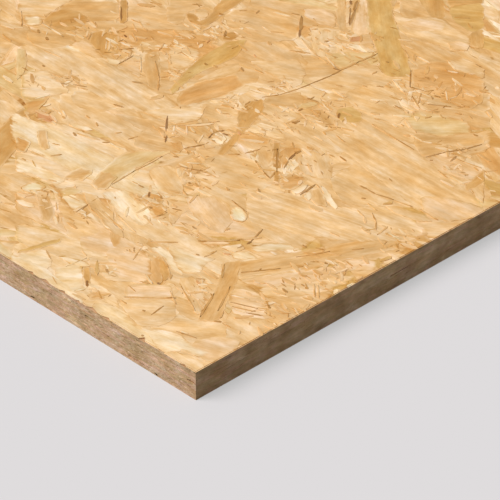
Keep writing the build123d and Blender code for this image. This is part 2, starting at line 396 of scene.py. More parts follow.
# Drawn strands: each has its colour, the way its grain runs in the picture,
# how strongly its growth rings show, and its outline
corner_strands = (
    # upper left
    ("amber", (0, 1), 0.6, (120, 0), (127, 0), (128, 19), (124, 23), (120, 23)),
    ("ochre", (1, -0.2), 0.6, (50, 14), (62, 9), (76, 10), (88, 17), (86, 23), (76, 30), (66, 31), (50, 26),
     (43, 20)),
    ("tan", (1, 0), 0.7, (66, 3), (76, 0), (119, 0), (119, 19), (100, 21), (86, 20), (74, 11), (56, 11)),
    ("tan", (1, 0), 1.2, (84, 21), (119, 20), (128, 27), (119, 31), (80, 31), (77, 27)),
    ("ochre", (0, 1), 0.7, (120, 31), (121, 44), (118, 54), (104, 54.5), (96, 49), (89, 41), (93, 31)),
    ("rosy", (1, 0.4), 0.5, (68, 46), (76, 41), (88, 40), (97, 49), (103, 56), (95, 58), (82, 52)),
    ("cream", (1, 0), 0.6, (23, 16), (40, 16), (43, 21), (40, 25), (26, 25)),
    ("straw", (1, 0.1), 0.7, (18, -4), (78, -4), (62, 5), (50, 13), (44, 17), (18, 15)),
    ("tan", (1, 0.2), 0.8, (27, 29), (44, 27), (60, 31), (76, 37), (75, 42), (66, 47), (50, 49), (36, 46),
     (27, 38)),
    ("tan", (1, 0), 0.8, (137, 40), (160, 41), (158, 50), (147, 54), (137, 50)),
    ("tan", (0.1, 1), 0.8, (143, 54), (158, 49), (161, 62), (160, 90), (150, 88), (142, 66)),
    ("cream", (1, 0.2), 0.6, (105, 58), (122, 60), (118, 65), (108, 63)),
    ("rosy", (1, 0.4), 0.8, (120, 62), (134, 56), (141, 62), (140, 78), (128, 72), (117, 67)),
    ("pale", (1, 0.1), 0.5, (22, 74), (30, 70), (50, 72), (53, 79), (66, 84), (70, 92), (52, 95), (30, 99),
     (22, 97)),
    ("orange", (1, -0.4), 0.6, (26, 101), (50, 97), (44, 103), (36, 113), (28, 117), (23, 112)),
    ("rust", (1, 0.8), 0.6, (37, 111), (47, 112), (54, 119), (52, 123), (44, 121), (37, 117)),
    ("pale", (1, 0.1), 0.5, (142, 111), (178, 106), (205, 107), (200, 120), (178, 124), (163, 119),
     (150, 114)),
    ("green_straw", (0, 1), 0.5, (16, 48), (26, 50), (27, 64), (23, 74), (16, 80)),
    ("straw", (1, 0.6), 1.9, (20, 44), (62, 46), (100, 56), (124, 68), (150, 87), (180, 104), (180, 126),
     (150, 116), (118, 104), (90, 92), (72, 84), (50, 72), (24, 66), (16, 56)),
    ("honey", (1, 0.3), 0.9, (75, 90), (100, 92), (126, 104), (104, 112), (76, 106), (70, 96)),
    # upper middle
    ("olive", (1, -0.62), 0.5, (247, 39), (244, 46), (236, 56), (225, 62), (212, 67), (200, 72), (188, 80),
     (172, 95), (170, 88), (186, 70), (204, 54), (216, 48), (228, 41)),
    ("orange", (1, -0.3), 1.0, (248, 84), (240, 80), (236, 74), (212, 78), (196, 82), (182, 90), (176, 99),
     (180, 106), (206, 102), (226, 95), (238, 89)),
    ("straw", (1, -0.4), 0.5, (196, 80), (212, 72), (224, 66), (238, 62), (241, 70), (232, 76), (218, 77)),
    ("ochre", (1, -0.7), 0.7, (222, -2), (246, -2), (236, 6), (229, 10), (222, 14), (216, 20), (208, 25),
     (199, 26), (199, 21), (208, 17), (213, 11)),
    ("amber", (1, 0.4), 0.7, (187, 12), (195, 14), (199, 18), (197, 21), (190, 21), (186, 17)),
    ("straw", (1, 0.3), 0.5, (196, 9), (206, 9), (210, 14), (206, 18), (198, 17), (195, 13)),
    ("pale", (0.4, 1), 0.5, (221, 18), (226, 19), (231, 28), (227, 30), (221, 24)),
    ("amber", (1, 0.1), 0.6, (222, 33), (236, 31), (237, 38), (230, 40), (222, 39)),
    ("orange", (1, 0.1), 1.2, (174, 35), (196, 33), (214, 35), (219, 40), (210, 44), (196, 43), (176, 42)),
    ("sand", (1, 0.3), 0.5, (222, 17), (236, 8), (262, 5), (300, 17), (298, 40), (262, 42), (236, 40),
     (228, 30)),
    ("rosy", (1, 0.4), 0.5, (303, 8), (322, 9), (336, 14), (336, 28), (318, 24), (305, 16)),
    ("straw", (1, 0.2), 0.5, (248, 60), (270, 61), (296, 58), (306, 70), (302, 84), (290, 88), (282, 80),
     (262, 70)),
    ("ochre", (0.6, -1), 0.8, (250, 102), (263, 99), (264, 108), (257, 118), (248, 128), (242, 133),
     (238, 140), (230, 149), (224, 155), (216, 154), (222, 146), (232, 137), (238, 126), (237, 112),
     (243, 106)),
    ("pale", (1, -0.2), 0.5, (234, 87), (248, 84), (251, 90), (240, 95), (232, 93)),
    ("tan", (1, 0.1), 1.2, (266, 95), (300, 91), (304, 101), (298, 109), (280, 107), (262, 103)),
    ("green_straw", (1, 0.1), 0.8, (300, 103), (314, 101), (318, 104), (306, 109), (298, 107)),
    ("straw", (1, 0.2), 0.8, (168, 44), (186, 43), (202, 50), (198, 58), (186, 69), (176, 79), (168, 82)),
    ("honey", (1, 0.3), 0.8, (206, 104), (236, 102), (240, 118), (236, 128), (214, 124), (203, 116)),
    ("tan", (1, 0), 0.8, (168, -3), (200, -3), (206, 5), (196, 9), (187, 12), (184, 21), (176, 25),
     (166, 20)),
    # upper right
    ("straw", (0.1, 1), 0.4, (345, 7), (349, 3), (349.4, 22), (346, 24)),
    ("cream", (1, 0.2), 0.4, (349, 43), (360, 45), (372, 50), (375, 51.5), (366, 53), (352, 49)),
    ("rust", (1, 0), 0.6, (349, 37), (362, 36), (362.6, 41), (350, 41.6)),
    ("olive", (0.17, 1), 0.6, (367, -3), (392, -3), (393, 15), (399, 30), (402, 45), (408, 60), (412, 76),
     (400, 77), (388, 76), (380, 71), (378, 55), (371, 35), (368, 20)),
    ("tan", (0.1, 1), 1.0, (337, -3), (345, -3), (346, 18), (345, 25), (350, 31), (340, 31), (336, 18)),
    ("rosy", (0, 1), 0.5, (358, 0), (367, -3), (369, 20), (370, 34), (358, 35), (351, 30), (352, 22)),
    ("sand", (1, 0), 0.5, (352, 33), (370, 33), (374, 48), (364, 46), (350, 42)),
    ("rosy", (1, 0.2), 0.9, (400, 23), (420, 17), (446, 21), (444, 30), (420, 31), (406, 29)),
    ("rosy", (1, 0.3), 0.8, (449, 42), (460, 41), (470, 46), (466, 51), (450, 49)),
    ("straw", (1, 0.3), 1.0, (393, 12), (404, 17), (440, 16), (456, 28), (470, 36), (470, 48), (452, 52),
     (436, 44), (412, 40), (400, 30), (395, 20)),
    ("ochre", (0.2, 1), 0.6, (418, -3), (442, -3), (446, 8), (445, 17), (436, 20.5), (430, 16), (424, 8)),
    ("ochre", (0.2, 1), 0.6, (470, 33), (484, 28), (484, 48), (474, 46), (468, 39)),
    ("olive", (1, 0.1), 1.3, (450, 6), (484, 2), (484, 31), (470, 31), (456, 23), (450, 15)),
    ("ochre", (1, 0), 1.2, (446, -4), (484, -4), (484, 3), (470, 8), (450, 8)),
    ("straw", (1, 0.35), 0.9, (448, 60), (466, 58), (484, 68), (484, 79), (468, 73), (454, 70)),
    ("orange", (1, 0.15), 0.9, (430, 62), (438, 60), (448, 61), (456, 70), (484, 78), (484, 102),
     (468, 110), (450, 105), (436, 96), (420, 90), (411, 86), (412, 70), (420, 64)),
    ("olive", (1, 0.2), 0.6, (338, 108), (352, 106), (361, 112), (363, 118), (358, 123), (340, 121),
     (337, 114)),
    ("green_straw", (1, 0.1), 0.6, (325, 54), (350, 51), (376, 53), (358, 61), (341, 69), (334, 63)),
    ("honey", (1, 0.35), 0.8, (344, 92), (372, 84), (392, 88), (400, 104), (406, 113), (400, 124),
     (378, 119), (352, 106)),
    ("sand", (1, 0.2), 0.7, (322, 100), (338, 99), (356, 104), (350, 107), (336, 107)),
    # left
    ("tan", (1, -0.75), 0.5, (91, 183), (99, 172), (110, 171), (118, 178), (106, 189.5), (96, 189)),
    ("green_straw", (1, -0.4), 0.5, (97, 174), (112, 161), (122, 153), (140, 150), (174, 151), (160, 156),
     (146, 163), (132, 171), (112, 184)),
    ("tan", (1, -0.15), 0.9, (63, 178), (71, 171), (80, 167.6), (92, 169), (92.6, 173), (84, 179.6),
     (72, 180)),
    ("orange", (1, 0.5), 0.7, (16, 136), (24, 138), (31, 142), (30, 146), (25, 153), (16, 150)),
    ("sand", (0.1, 1), 0.8, (37, 130), (46, 130), (48, 140), (50, 148), (44, 150), (38, 142)),
    ("pale", (1, 0.2), 0.5, (131, 177), (140, 169), (148, 170), (152, 180), (158, 190), (142, 185)),
    ("orange", (1, 0.4), 1.2, (140, 199), (144, 194), (150, 192), (158, 195), (164, 198), (162, 204),
     (167, 211), (160, 217), (152, 219), (151, 210), (146, 206)),
    ("cream", (0.5, 0.5), 0.5, (100, 192), (127, 190), (140, 201), (151, 209), (151, 222), (140, 226),
     (124, 214), (108, 202)),
    ("cream", (1, 0.3), 0.4, (61, 196), (73, 194), (82, 200), (88, 205), (78, 212), (70, 207)),
    ("cream", (1, 0.2), 0.4, (80, 211), (84, 209.6), (87, 217), (82, 215)),
    ("tan", (0.4, 1), 1.0, (40, 194), (50, 200), (55, 214), (50, 222), (42, 222), (38, 206)),
    ("white", (1, 0.05), 0.4, (20, 187), (34, 181), (47, 186), (40, 190.6), (24, 191)),
    ("green_straw", (1, 0), 0.6, (57, 191), (70, 186), (83, 190), (75, 195), (62, 197.6)),
    ("sand", (1, 0.25), 1.0, (134, 136), (148, 128), (160, 137), (170, 142), (182, 152), (164, 151),
     (148, 150), (134, 146)),
    ("cream", (1, 0.4), 0.9, (16, 158), (30, 160), (66, 180), (56, 185), (30, 173), (16, 171)),
    ("honey", (1, 0.3), 0.6, (58, 201), (66, 204), (80, 213), (94, 222), (102, 234), (70, 240), (61, 218)),
    ("straw", (0.7, 0.7), 0.7, (148, 170), (166, 164), (182, 170), (184, 194), (166, 197), (156, 186)),
    # middle
    ("cream", (1, 0.2), 0.4, (210.6, 138.6), (216, 133), (224, 134), (227.6, 139), (222, 144), (214, 142)),
    ("orange", (0, 1), 0.5, (169, 141), (181, 141), (183, 148), (180, 153), (171, 153)),
    ("orange", (1, 0.1), 0.7, (239, 133), (256, 135), (270, 138), (268, 145), (250, 141), (237, 140)),
    ("pale", (1, 0.3), 0.7, (243, 131), (252, 124), (263, 122), (273, 126), (283, 132), (287, 141),
     (276, 138), (262, 134)),
    ("amber", (0, 1), 0.8, (273.6, 140), (279.6, 140), (281, 160), (280, 174), (279, 185), (275, 185),
     (273, 170), (273, 152)),
    ("sand", (0.4, 1), 0.8, (257, 150), (272, 141), (273.4, 160), (274, 172), (269, 177.6), (262, 169),
     (255, 159)),
    ("orange", (0, 1), 0.6, (281, 150), (293, 146), (302, 149), (293, 155), (286, 164), (283, 171),
     (281, 162)),
    ("cream", (1, -0.6), 0.5, (285, 164), (294, 158), (299, 164), (292, 172), (285, 175), (283, 170)),
    ("straw", (0.4, 1), 0.8, (295, 157), (310, 150), (332, 156), (332, 178), (316, 178), (304, 173),
     (297, 166)),
    ("cream", (1, -0.3), 0.4, (291, 190.6), (302, 185.6), (309, 185), (300, 193), (294, 193)),
    ("cream", (0.4, 1), 0.4, (302.6, 196), (310, 190), (313, 196), (308, 201)),
    ("orange", (1, -0.1), 0.6, (279, 179), (296, 172), (308, 178), (300, 186), (289, 190), (280, 187)),
    ("tan", (0.2, 1), 1.1, (311, 191), (318, 187), (325, 196), (327, 207), (316, 205), (311, 199)),
    ("cream", (1, 1.2), 0.4, (321, 185), (325, 188), (339, 206), (335, 208.6), (326, 200)),
    ("white", (1, 0.6), 0.4, (231, 208), (239, 206), (246, 212), (247, 218), (242, 222.6), (234, 221),
     (230, 214)),
    ("sand", (0.4, 1), 0.6, (169, 206), (178, 208), (188, 210), (180, 215), (175, 224), (169, 222)),
    ("honey", (1, 0.3), 0.6, (204, 158), (230, 153), (256, 160), (264, 172), (274, 182), (262, 190),
     (230, 187), (208, 176)),
    ("straw", (1, 0.35), 1.5, (248, 181), (268, 187), (300, 196), (340, 207), (380, 206), (411, 216),
     (424, 232), (411, 242), (380, 241), (340, 241), (300, 234), (266, 229), (250, 222), (246, 206)),
    ("rosy", (0.6, 0.8), 0.7, (186, 196), (214, 196), (232, 206), (232, 222), (222, 234), (200, 224),
     (190, 210)),
    # right
    ("ochre", (1, -0.7), 0.6, (465, 185), (474, 178), (484, 168), (484, 182), (474, 188.6), (467, 190)),
    ("straw", (1, 0.9), 0.4, (470, 189), (484, 179), (484, 204), (477, 198)),
    ("sand", (1, 0.1), 1.3, (327, 165), (350, 160), (353, 164), (348, 168), (329, 172)),
    ("green_straw", (1, 0.05), 0.4, (402, 114), (420, 111), (440, 114), (466, 121), (474, 132), (440, 137),
     (414, 131)),
    ("tan", (1, -0.1), 0.5, (413, 133), (440, 135), (472, 130), (484, 136), (484, 144), (460, 148.6),
     (440, 152), (424, 157), (416, 148)),
    ("rosy", (1, 0.5), 0.8, (420, 157), (446, 152), (462, 160), (484, 168), (484, 174), (464, 183),
     (440, 170)),
    ("rosy", (1, 0.5), 0.8, (420, 196), (450, 197), (480, 206), (490, 214), (450, 222), (424, 214)),
    ("honey", (1, 0.57), 1.6, (338, 119), (362, 118), (382, 128), (402, 142), (418, 152), (440, 168),
     (466, 184), (478, 200), (484, 208), (470, 216), (440, 216), (414, 206), (388, 186), (362, 165),
     (338, 146), (322, 132)),
    ("honey", (1, 0.5), 1.2, (330, 176), (362, 166), (388, 186), (414, 206), (400, 210), (370, 204),
     (344, 204), (334, 190)),
    # along the two sides of the near corner
    ("cream", (1, 0.57), 0.6, (92, 302), (110, 304), (126, 312), (140, 326), (152, 338), (166, 364),
     (140, 350), (118, 337), (94, 321)),
    ("cream", (1, 0.3), 0.6, (138, 329), (160, 329), (178, 334), (196, 346), (210, 352), (200, 358),
     (184, 350), (164, 352), (150, 342)),
    ("pale", (1, 0.57), 0.6, (160, 350), (180, 352), (200, 360), (204, 368), (206, 386), (184, 376),
     (162, 362)),
    ("rosy", (1, 0.25), 1.2, (228, 296), (236, 288), (258, 292), (266, 306), (268, 320), (250, 318),
     (232, 312)),
    ("rosy", (1, 0.3), 0.5, (104, 250), (130, 246), (150, 256), (152, 276), (140, 284), (116, 276)),
    ("straw", (1, 0.1), 0.6, (120, 300), (150, 298), (175, 300), (176, 318), (160, 326), (140, 326),
     (125, 312)),
    ("rosy", (1, 0.05), 0.8, (126, 285), (150, 283), (172, 286), (172, 298), (150, 297), (124, 296)),
    ("rosy", (1, 0.25), 0.8, (196, 340), (220, 336), (240, 340), (236, 352), (214, 362), (204, 360),
     (190, 348)),
    ("cream", (1, 0.57), 0.6, (10, 254), (30, 261), (50, 271), (64, 283), (84, 300), (80, 312), (50, 298),
     (10, 272)),
    # lower left
    ("ochre", (0, 1), 0.7, (83, 268), (89, 266.6), (91, 276), (90.4, 284), (87, 287.6), (85, 283),
     (83, 276)),
    ("ochre", (0.4, 1), 0.6, (160, 256), (167, 263), (170, 277), (163, 281), (160, 270)),
    ("orange", (0.3, 1), 0.6, (152, 258), (160, 256), (163, 268), (163, 282), (156, 284), (150, 277),
     (147, 270)),
    ("cream", (1, 0.7), 0.4, (150, 247), (162, 246), (172, 255), (178, 267), (184, 275), (172, 270),
     (166, 260), (158, 253)),
    ("olive", (1, -0.25), 0.5, (18, 249.6), (40, 243), (60, 237.6), (62, 241), (44, 247), (18, 253)),
    ("cream", (1, 0.2), 0.6, (18, 253), (46, 249), (53, 262), (46, 271), (30, 267), (18, 262)),
    ("cream", (1, 0), 0.5, (55, 267), (82, 261), (83, 284), (86, 290), (66, 294.6), (58, 290), (54, 277)),
    ("sand", (1, -0.3), 0.6, (86, 294.6), (96, 290), (103, 300), (90, 301)),
    ("tan", (0.2, 1), 1.0, (111, 231), (122, 234), (121, 242), (114, 247), (110, 239)),
    ("straw", (1, 0.1), 0.6, (88, 256), (130, 257), (141, 272), (136, 282), (110, 281), (92, 267)),
    ("pale", (1, 0.3), 0.6, (66, 294), (82, 292), (98, 299), (122, 309), (152, 333), (154, 356), (120, 336),
     (94, 320), (64, 302)),
    ("pale", (1, 0.15), 0.6, (146, 332), (152, 328), (178, 332), (182, 346), (166, 350), (150, 341)),
    ("cream", (1, 0.35), 0.6, (166, 243), (184, 249), (200, 256), (217, 258), (206, 263), (199, 273),
     (184, 273), (176, 266)),
    ("rosy", (1, 0.3), 0.7, (96, 232), (110, 234), (114, 247), (140, 252), (130, 258), (96, 254), (80, 246),
     (80, 234)),
    # lower middle
    ("tan", (-0.5, 1), 1.0, (222, 261.6), (241, 260), (239, 272), (236, 285), (228, 299), (222, 315),
     (216, 321.6), (206, 320), (197, 320), (206, 306), (214, 292), (219, 276)),
    ("tan", (1, -0.2), 1.6, (236, 261), (262, 257), (300, 250), (340, 243), (380, 238), (409, 236),
     (411, 246), (380, 252), (350, 259), (318, 267), (290, 271), (262, 274), (240, 277)),
    ("orange", (1, -0.4), 0.6, (302, 262), (314, 256), (326, 254), (332, 260), (318, 268), (304, 273)),
    ("rosy", (1, -0.15), 0.5, (244, 280), (270, 275), (300, 271), (336, 265), (366, 262), (352, 270),
     (330, 278), (300, 284), (262, 287)),
    ("straw", (1, 0.1), 0.6, (256, 288), (300, 284), (334, 274), (356, 274), (346, 284), (322, 292),
     (300, 296), (270, 298)),
    ("sand", (1, 0.3), 0.7, (258, 298), (300, 294), (334, 286), (330, 300), (306, 316), (282, 330),
     (262, 322)),
    ("rosy", (1, 0.1), 0.6, (390, 221), (420, 225), (430, 234), (404, 240), (392, 234)),
    ("pale", (1, 0.1), 0.5, (221, 247), (240, 243), (245, 248), (236, 252), (226, 250)),
    ("cream", (1, 0.3), 0.5, (231, 252.6), (246, 250), (259, 257.6), (244, 260), (234, 258)),
    ("cream", (1, 0.1), 0.6, (252, 247), (268, 242), (290, 243), (296, 249), (262, 252), (252, 250)),
    ("orange", (0.3, 1), 0.6, (270, 299), (284, 300), (291, 308), (280, 315), (272, 317)),
    ("straw", (0.5, 1), 0.7, (178, 278), (194, 276), (206, 300), (199, 316), (188, 300)),
    ("rosy", (1, -0.1), 0.6, (240, 279), (262, 275), (300, 271), (330, 264), (336, 276), (310, 283),
     (280, 284), (252, 286)),
    ("rosy", (1, 0.1), 0.9, (332, 262), (360, 257), (378, 260), (374, 270), (350, 271), (336, 268)),
    ("orange", (1, 0.05), 0.6, (332, 270), (344, 270), (349, 274), (340, 276.6), (332, 275)),
    ("white", (1, -0.1), 0.4, (347, 284), (356, 282), (361, 284), (352, 287.6), (346, 289)),
    ("cream", (0, 1), 0.4, (334, 289), (341, 288), (339, 294), (334, 296)),
    ("olive", (0.3, 1), 0.5, (377, 257), (385, 261), (379, 269), (374, 264)),
    ("straw", (1, 0.5), 0.8, (226, 316), (240, 300), (262, 296), (274, 318), (262, 334), (240, 346),
     (226, 340)),
    ("straw", (1, 0.1), 0.7, (148, 319), (172, 314), (200, 321), (226, 322), (228, 352), (197, 374),
     (170, 352), (150, 330)),
    # the larger strands under all of these, on the left. They are paler than those
    # on the right: partly their own tone and partly painted sheen, brightest on the
    # left
    ("cream", (1, 0.57), 0.7, (10, 110), (60, 130), (130, 165), (180, 196), (150, 200), (90, 180),
     (30, 150), (10, 140)),
    ("pale", (1, 0.45), 0.6, (14, 118), (60, 122), (96, 136), (130, 150), (120, 160), (70, 150), (20, 140)),
    ("pale", (1, 0.2), 0.7, (16, 150), (60, 160), (110, 172), (130, 190), (110, 200), (60, 190), (16, 170)),
    ("rosy", (1, 0.57), 0.6, (16, 190), (60, 200), (110, 228), (150, 252), (140, 262), (100, 250),
     (50, 228), (16, 212)),
    ("pale", (1, 0.3), 0.8, (16, 222), (50, 228), (90, 240), (110, 256), (80, 262), (40, 250), (16, 240)),
    ("pale", (1, 0.57), 0.6, (16, 240), (50, 250), (90, 275), (120, 300), (114, 334), (60, 302), (8, 270)),
    ("straw", (1, 0.5), 0.7, (90, 262), (140, 280), (180, 310), (170, 325), (130, 310), (90, 285)),
    ("pale", (1, 0.5), 0.6, (120, 290), (160, 300), (210, 330), (218, 352), (216, 392), (170, 366),
     (116, 334)),
    ("straw", (1, 0.57), 0.7, (170, 320), (230, 340), (240, 360), (210, 385), (180, 360)),
    ("sand", (1, -0.4), 0.7, (110, 190), (150, 165), (200, 150), (210, 165), (170, 190), (120, 210)),
    ("pale", (1, 0.57), 0.7, (110, 200), (150, 210), (200, 240), (240, 262), (220, 275), (170, 250),
     (120, 225)),
    ("pale", (1, 0.2), 0.6, (120, 212), (160, 222), (200, 226), (196, 240), (150, 240), (118, 228)),
    ("straw", (1, 0.4), 0.8, (120, 240), (170, 250), (210, 270), (230, 290), (190, 292), (140, 268)),
    ("straw", (1, 0.57), 0.8, (60, 90), (110, 112), (160, 138), (200, 160), (185, 170), (130, 150),
     (60, 112)),
    ("sand", (1, 0.4), 0.8, (110, 112), (160, 120), (210, 138), (260, 165), (240, 175), (180, 155),
     (120, 132)),
    # along the top
    ("sand", (1, 0.1), 0.6, (140, 60), (200, 60), (260, 70), (256, 84), (200, 84), (140, 76)),
    ("sand", (1, 0.2), 0.6, (120, 66), (170, 70), (190, 86), (170, 96), (130, 84)),
    ("tan", (1, 0.57), 0.8, (16, 0), (80, 20), (140, 50), (120, 62), (60, 40), (16, 20)),
    ("sand", (1, 0.2), 0.7, (60, 0), (140, 4), (200, 14), (200, 30), (140, 30), (70, 18)),
    ("orange", (1, 0.3), 0.7, (120, 20), (180, 30), (230, 50), (220, 62), (160, 52), (110, 40)),
    ("sand", (1, 0.57), 0.7, (190, 0), (250, 24), (310, 60), (300, 76), (240, 50), (190, 22)),
    ("sand", (1, 0.4), 0.8, (200, 40), (250, 50), (300, 76), (280, 90), (230, 74), (196, 56)),
    ("tan", (1, 0), 0.6, (240, 56), (300, 52), (350, 60), (340, 76), (280, 78), (240, 72)),
    ("sand", (1, 0.2), 0.7, (250, -4), (310, 4), (360, 16), (350, 32), (300, 26), (250, 14)),
    # in the middle
    ("sand", (1, 0.5), 0.8, (200, 100), (250, 112), (310, 145), (340, 170), (310, 176), (250, 150),
     (200, 122)),
    ("straw", (1, 0.57), 0.8, (240, 92), (300, 112), (350, 140), (340, 156), (290, 136), (236, 110)),
    ("straw", (1, 0.3), 0.7, (180, 150), (240, 158), (290, 180), (280, 200), (230, 192), (180, 172)),
    ("straw", (1, 0.57), 0.8, (200, 176), (260, 200), (320, 236), (300, 252), (250, 230), (200, 200)),
    ("rosy", (1, 0.1), 0.7, (170, 200), (230, 205), (270, 220), (250, 240), (200, 236), (170, 222)),
    ("straw", (1, 0.57), 0.8, (220, 240), (280, 262), (320, 284), (290, 300), (240, 280), (210, 258)),
    ("straw", (1, 0.3), 0.7, (190, 262), (230, 270), (270, 300), (250, 320), (210, 300), (190, 280)),
    # on the right, in darker tans and honeys: their own tone, with less painted sheen
    ("tan", (1, 0.57), 0.8, (290, 90), (350, 112), (410, 146), (400, 160), (350, 140), (290, 108)),
    ("honey", (1, 0.2), 0.7, (300, 62), (370, 64), (420, 80), (410, 100), (350, 96), (300, 82)),
    ("honey", (1, 0.4), 0.7, (330, 90), (390, 100), (440, 130), (420, 146), (370, 130), (330, 108)),
    ("straw", (1, 0.57), 0.8, (280, 150), (340, 168), (400, 200), (390, 218), (330, 196), (276, 168)),
    ("sand", (1, 0.5), 0.8, (300, 190), (360, 200), (420, 226), (400, 246), (350, 236), (300, 212)),
    ("honey", (1, 0.57), 0.8, (330, 140), (400, 176), (450, 206), (430, 216), (370, 190), (326, 160)),
    ("sand", (1, 0), 0.7, (320, 230), (380, 228), (420, 236), (400, 256), (350, 262), (320, 250)),
    ("tan", (1, 0.4), 0.7, (400, -4), (450, 10), (484, 30), (484, 50), (440, 36), (400, 14)),
    ("tan", (1, 0.57), 0.7, (380, 20), (440, 50), (484, 80), (484, 96), (430, 74), (380, 40)),
    ("tan", (1, 0.2), 0.8, (400, 70), (460, 76), (490, 90), (490, 112), (440, 108), (400, 92)),
    ("sand", (1, 0.3), 0.7, (410, 90), (460, 100), (490, 116), (490, 130), (440, 124), (406, 108)),
    ("sand", (1, 0.57), 0.8, (390, 130), (450, 160), (490, 186), (490, 204), (440, 180), (390, 150)),
    ("sand", (1, -0.3), 0.7, (410, 146), (460, 136), (490, 128), (490, 150), (450, 160), (416, 162)),
)

# Patches where the press has broken strands to splinters: the middle of each,
# its reach to the right and down, and how many splinters it has
corner_patches = (
    ((75, 27), (55, 8), 26), ((122, 45), (18, 12), 22), ((165, 46), (30, 12), 26),
    ((222, 32), (28, 12), 30), ((174, 73), (8, 8), 8), ((38, 80), (18, 10), 8), ((74, 82), (14, 7), 8),
    ((232, 104), (18, 8), 14), ((174, 128), (12, 16), 12), ((195, 166), (16, 24), 34),
    ((220, 133), (14, 8), 12), ((45, 116), (18, 8), 8), ((43, 192), (24, 12), 14),
    ((158, 204), (24, 16), 30), ((190, 228), (12, 8), 10), ((75, 215), (16, 14), 10),
    ((108, 270), (8, 6), 6), ((140, 250), (11, 7), 9), ((100, 294), (14, 7), 9), ((340, 45), (36, 14), 34),
    ((282, 84), (12, 8), 10), ((326, 113), (22, 18), 34), ((427, 96), (52, 22), 60),
    ((276, 128), (28, 22), 30), ((288, 170), (38, 20), 34), ((406, 93), (10, 24), 12),
    ((455, 150), (24, 10), 14), ((463, 170), (20, 14), 16), ((284, 312), (36, 26), 50),
    ((328, 272), (32, 18), 34), ((397, 240), (20, 10), 14), ((200, 290), (16, 14), 12),
)

# The soft rim of a strand is narrow in resin-stained wood and wide in pale wood
crisp_colours = ("olive", "ochre", "amber", "rust")
crisp_edge, faded_edge = 0.0013, 0.0030
widest_rim_share = 0.3
drawn_shade_spread = 0.03
seed_range = 500
random = np.random.default_rng(7)

# How the outlines are worn: the corners' cut, the steps along a side, and how
# far a point strays. A worn or inset outline that crosses itself is eased.
corner_cut = 0.14
outline_step = 0.0025
strand_wear, mark_wear = 0.0003, 0.00008
most_easings = 20
wear_easing, inset_easing = 0.7, 0.6
folded_share = 0.2
nearly_nothing, nearest_side = 1e-12, 1e-6

# A thin mark: its outline as shares of its length and of its half width, the
# soft rim of each millimetre of its width, and how faint it is
mark_shape = (
    (0, 0), (0.2, 1), (0.45, 0.8), (0.75, 1), (1, 0), (0.8, -1), (0.5, -1), (0.25, -0.8),
)
mark_rim = 0.0003
mark_rings = 0.3
mark_faintness = 0.2
millimetres_in_metre = 1000


def face_point(pixel):
    """A picture point as x and y on the upper face."""
    return np.array(seen_on_face(pixel).xy)


def worn_outline(corners, ragged):
    """Takes the points off a closed outline and makes its sides uneven."""
    points = np.array(corners)
    following = np.roll(points, -1, axis=0)
    points = np.stack([
        (1 - corner_cut) * points + corner_cut * following,
        corner_cut * points + (1 - corner_cut) * following,
    ], 1).reshape(-1, 2)
    uneven = []
    for a, b in zip(points, np.roll(points, -1, axis=0)):
        steps = max(1, round(float(np.linalg.norm(b - a)) / outline_step))
        uneven += [a + (b - a) * k / steps for k in range(steps)]
    uneven = np.array(uneven)
    normals = inner_normals(uneven)
    for _ in range(most_easings):
        worn = uneven + normals * random.normal(0, ragged, len(uneven))[:, None]
        if not crosses_itself(worn):
            break
        ragged *= wear_easing
    return worn


def turning(points):
    """Twice the area of a closed outline, below nought where it runs clockwise."""
    following = np.roll(points, -1, axis=0)
    return (points[:, 0] * following[:, 1] - following[:, 0] * points[:, 1]).sum()


def inner_normals(points):
    """The way inwards at each point of a closed outline."""
    ahead = np.roll(points, -1, axis=0) - np.roll(points, 1, axis=0)
    ahead /= np.maximum(np.linalg.norm(ahead, axis=1), nearly_nothing)[:, None]
    return np.stack([-ahead[:, 1], ahead[:, 0]], -1) * np.sign(turning(points))


def crosses_itself(points):
    """Whether any two sides of a closed outline cross."""
    a, b = points, np.roll(points, -1, axis=0)

    def turns(start, end, other):
        side, away = end - start, other[None, :, :] - start[:, None, :]
        return side[:, None, 0] * away[:, :, 1] - side[:, None, 1] * away[:, :, 0]

    apart = turns(a, b, a) * turns(a, b, b)
    return bool(((apart < 0) & (apart.T < 0)).any())


def room_inwards(points):
    """How far each point of a closed outline is from the side across."""
    inwards = inner_normals(points)[:, None, :]
    side = (np.roll(points, -1, axis=0) - points)[None, :, :]
    away = points[None, :, :] - points[:, None, :]

    def crossed(a, b):
        return a[:, :, 0] * b[:, :, 1] - a[:, :, 1] * b[:, :, 0]

    cross = crossed(inwards, side)
    cross = np.where(np.abs(cross) < nearly_nothing, nearly_nothing, cross)
    reach = crossed(away, side) / cross
    share = crossed(away, inwards) / cross
    hit = (share >= 0) & (share <= 1) & (reach > nearest_side)
    return np.where(hit, reach, np.inf).min(1)


def unfolded_inset(outline, inwards, wanted):
    """How far each point can move inwards, up to a limit, with no fold."""
    inset = np.minimum(wanted, widest_rim_share * room_inwards(outline))
    side = np.roll(outline, -1, axis=0) - outline
    for _ in range(most_easings):
        inner = outline + inwards * inset[:, None]
        inner_side = np.roll(inner, -1, axis=0) - inner
        folded = (side * inner_side).sum(1) < folded_share * (side**2).sum(1)
        if folded.any():
            inset = np.where(folded | np.roll(folded, 1), inset * inset_easing, inset)
        elif crosses_itself(inner):
            inset = inset * inset_easing
        else:
            break
    return inset


def drawn_strand(colour, grain, rings, *outline):
    """A strand with an outline of its own, from the table above."""
    points = worn_outline([face_point(p) for p in outline], strand_wear)
    seen_middle = np.mean(outline, axis=0)
    way = face_point(seen_middle + np.array(grain)) - face_point(seen_middle)
    return {
        "outline": points,
        "place": points.mean(0),
        "angle": math.atan2(way[1], way[0]),
        "colour": wood_colours[colour],
        "lighter": random.normal(0, drawn_shade_spread),
        "rings": rings,
        "soft": crisp_edge if colour in crisp_colours else faded_edge,
        "seed": random.uniform(0, seed_range),
        "faint": 0,
    }


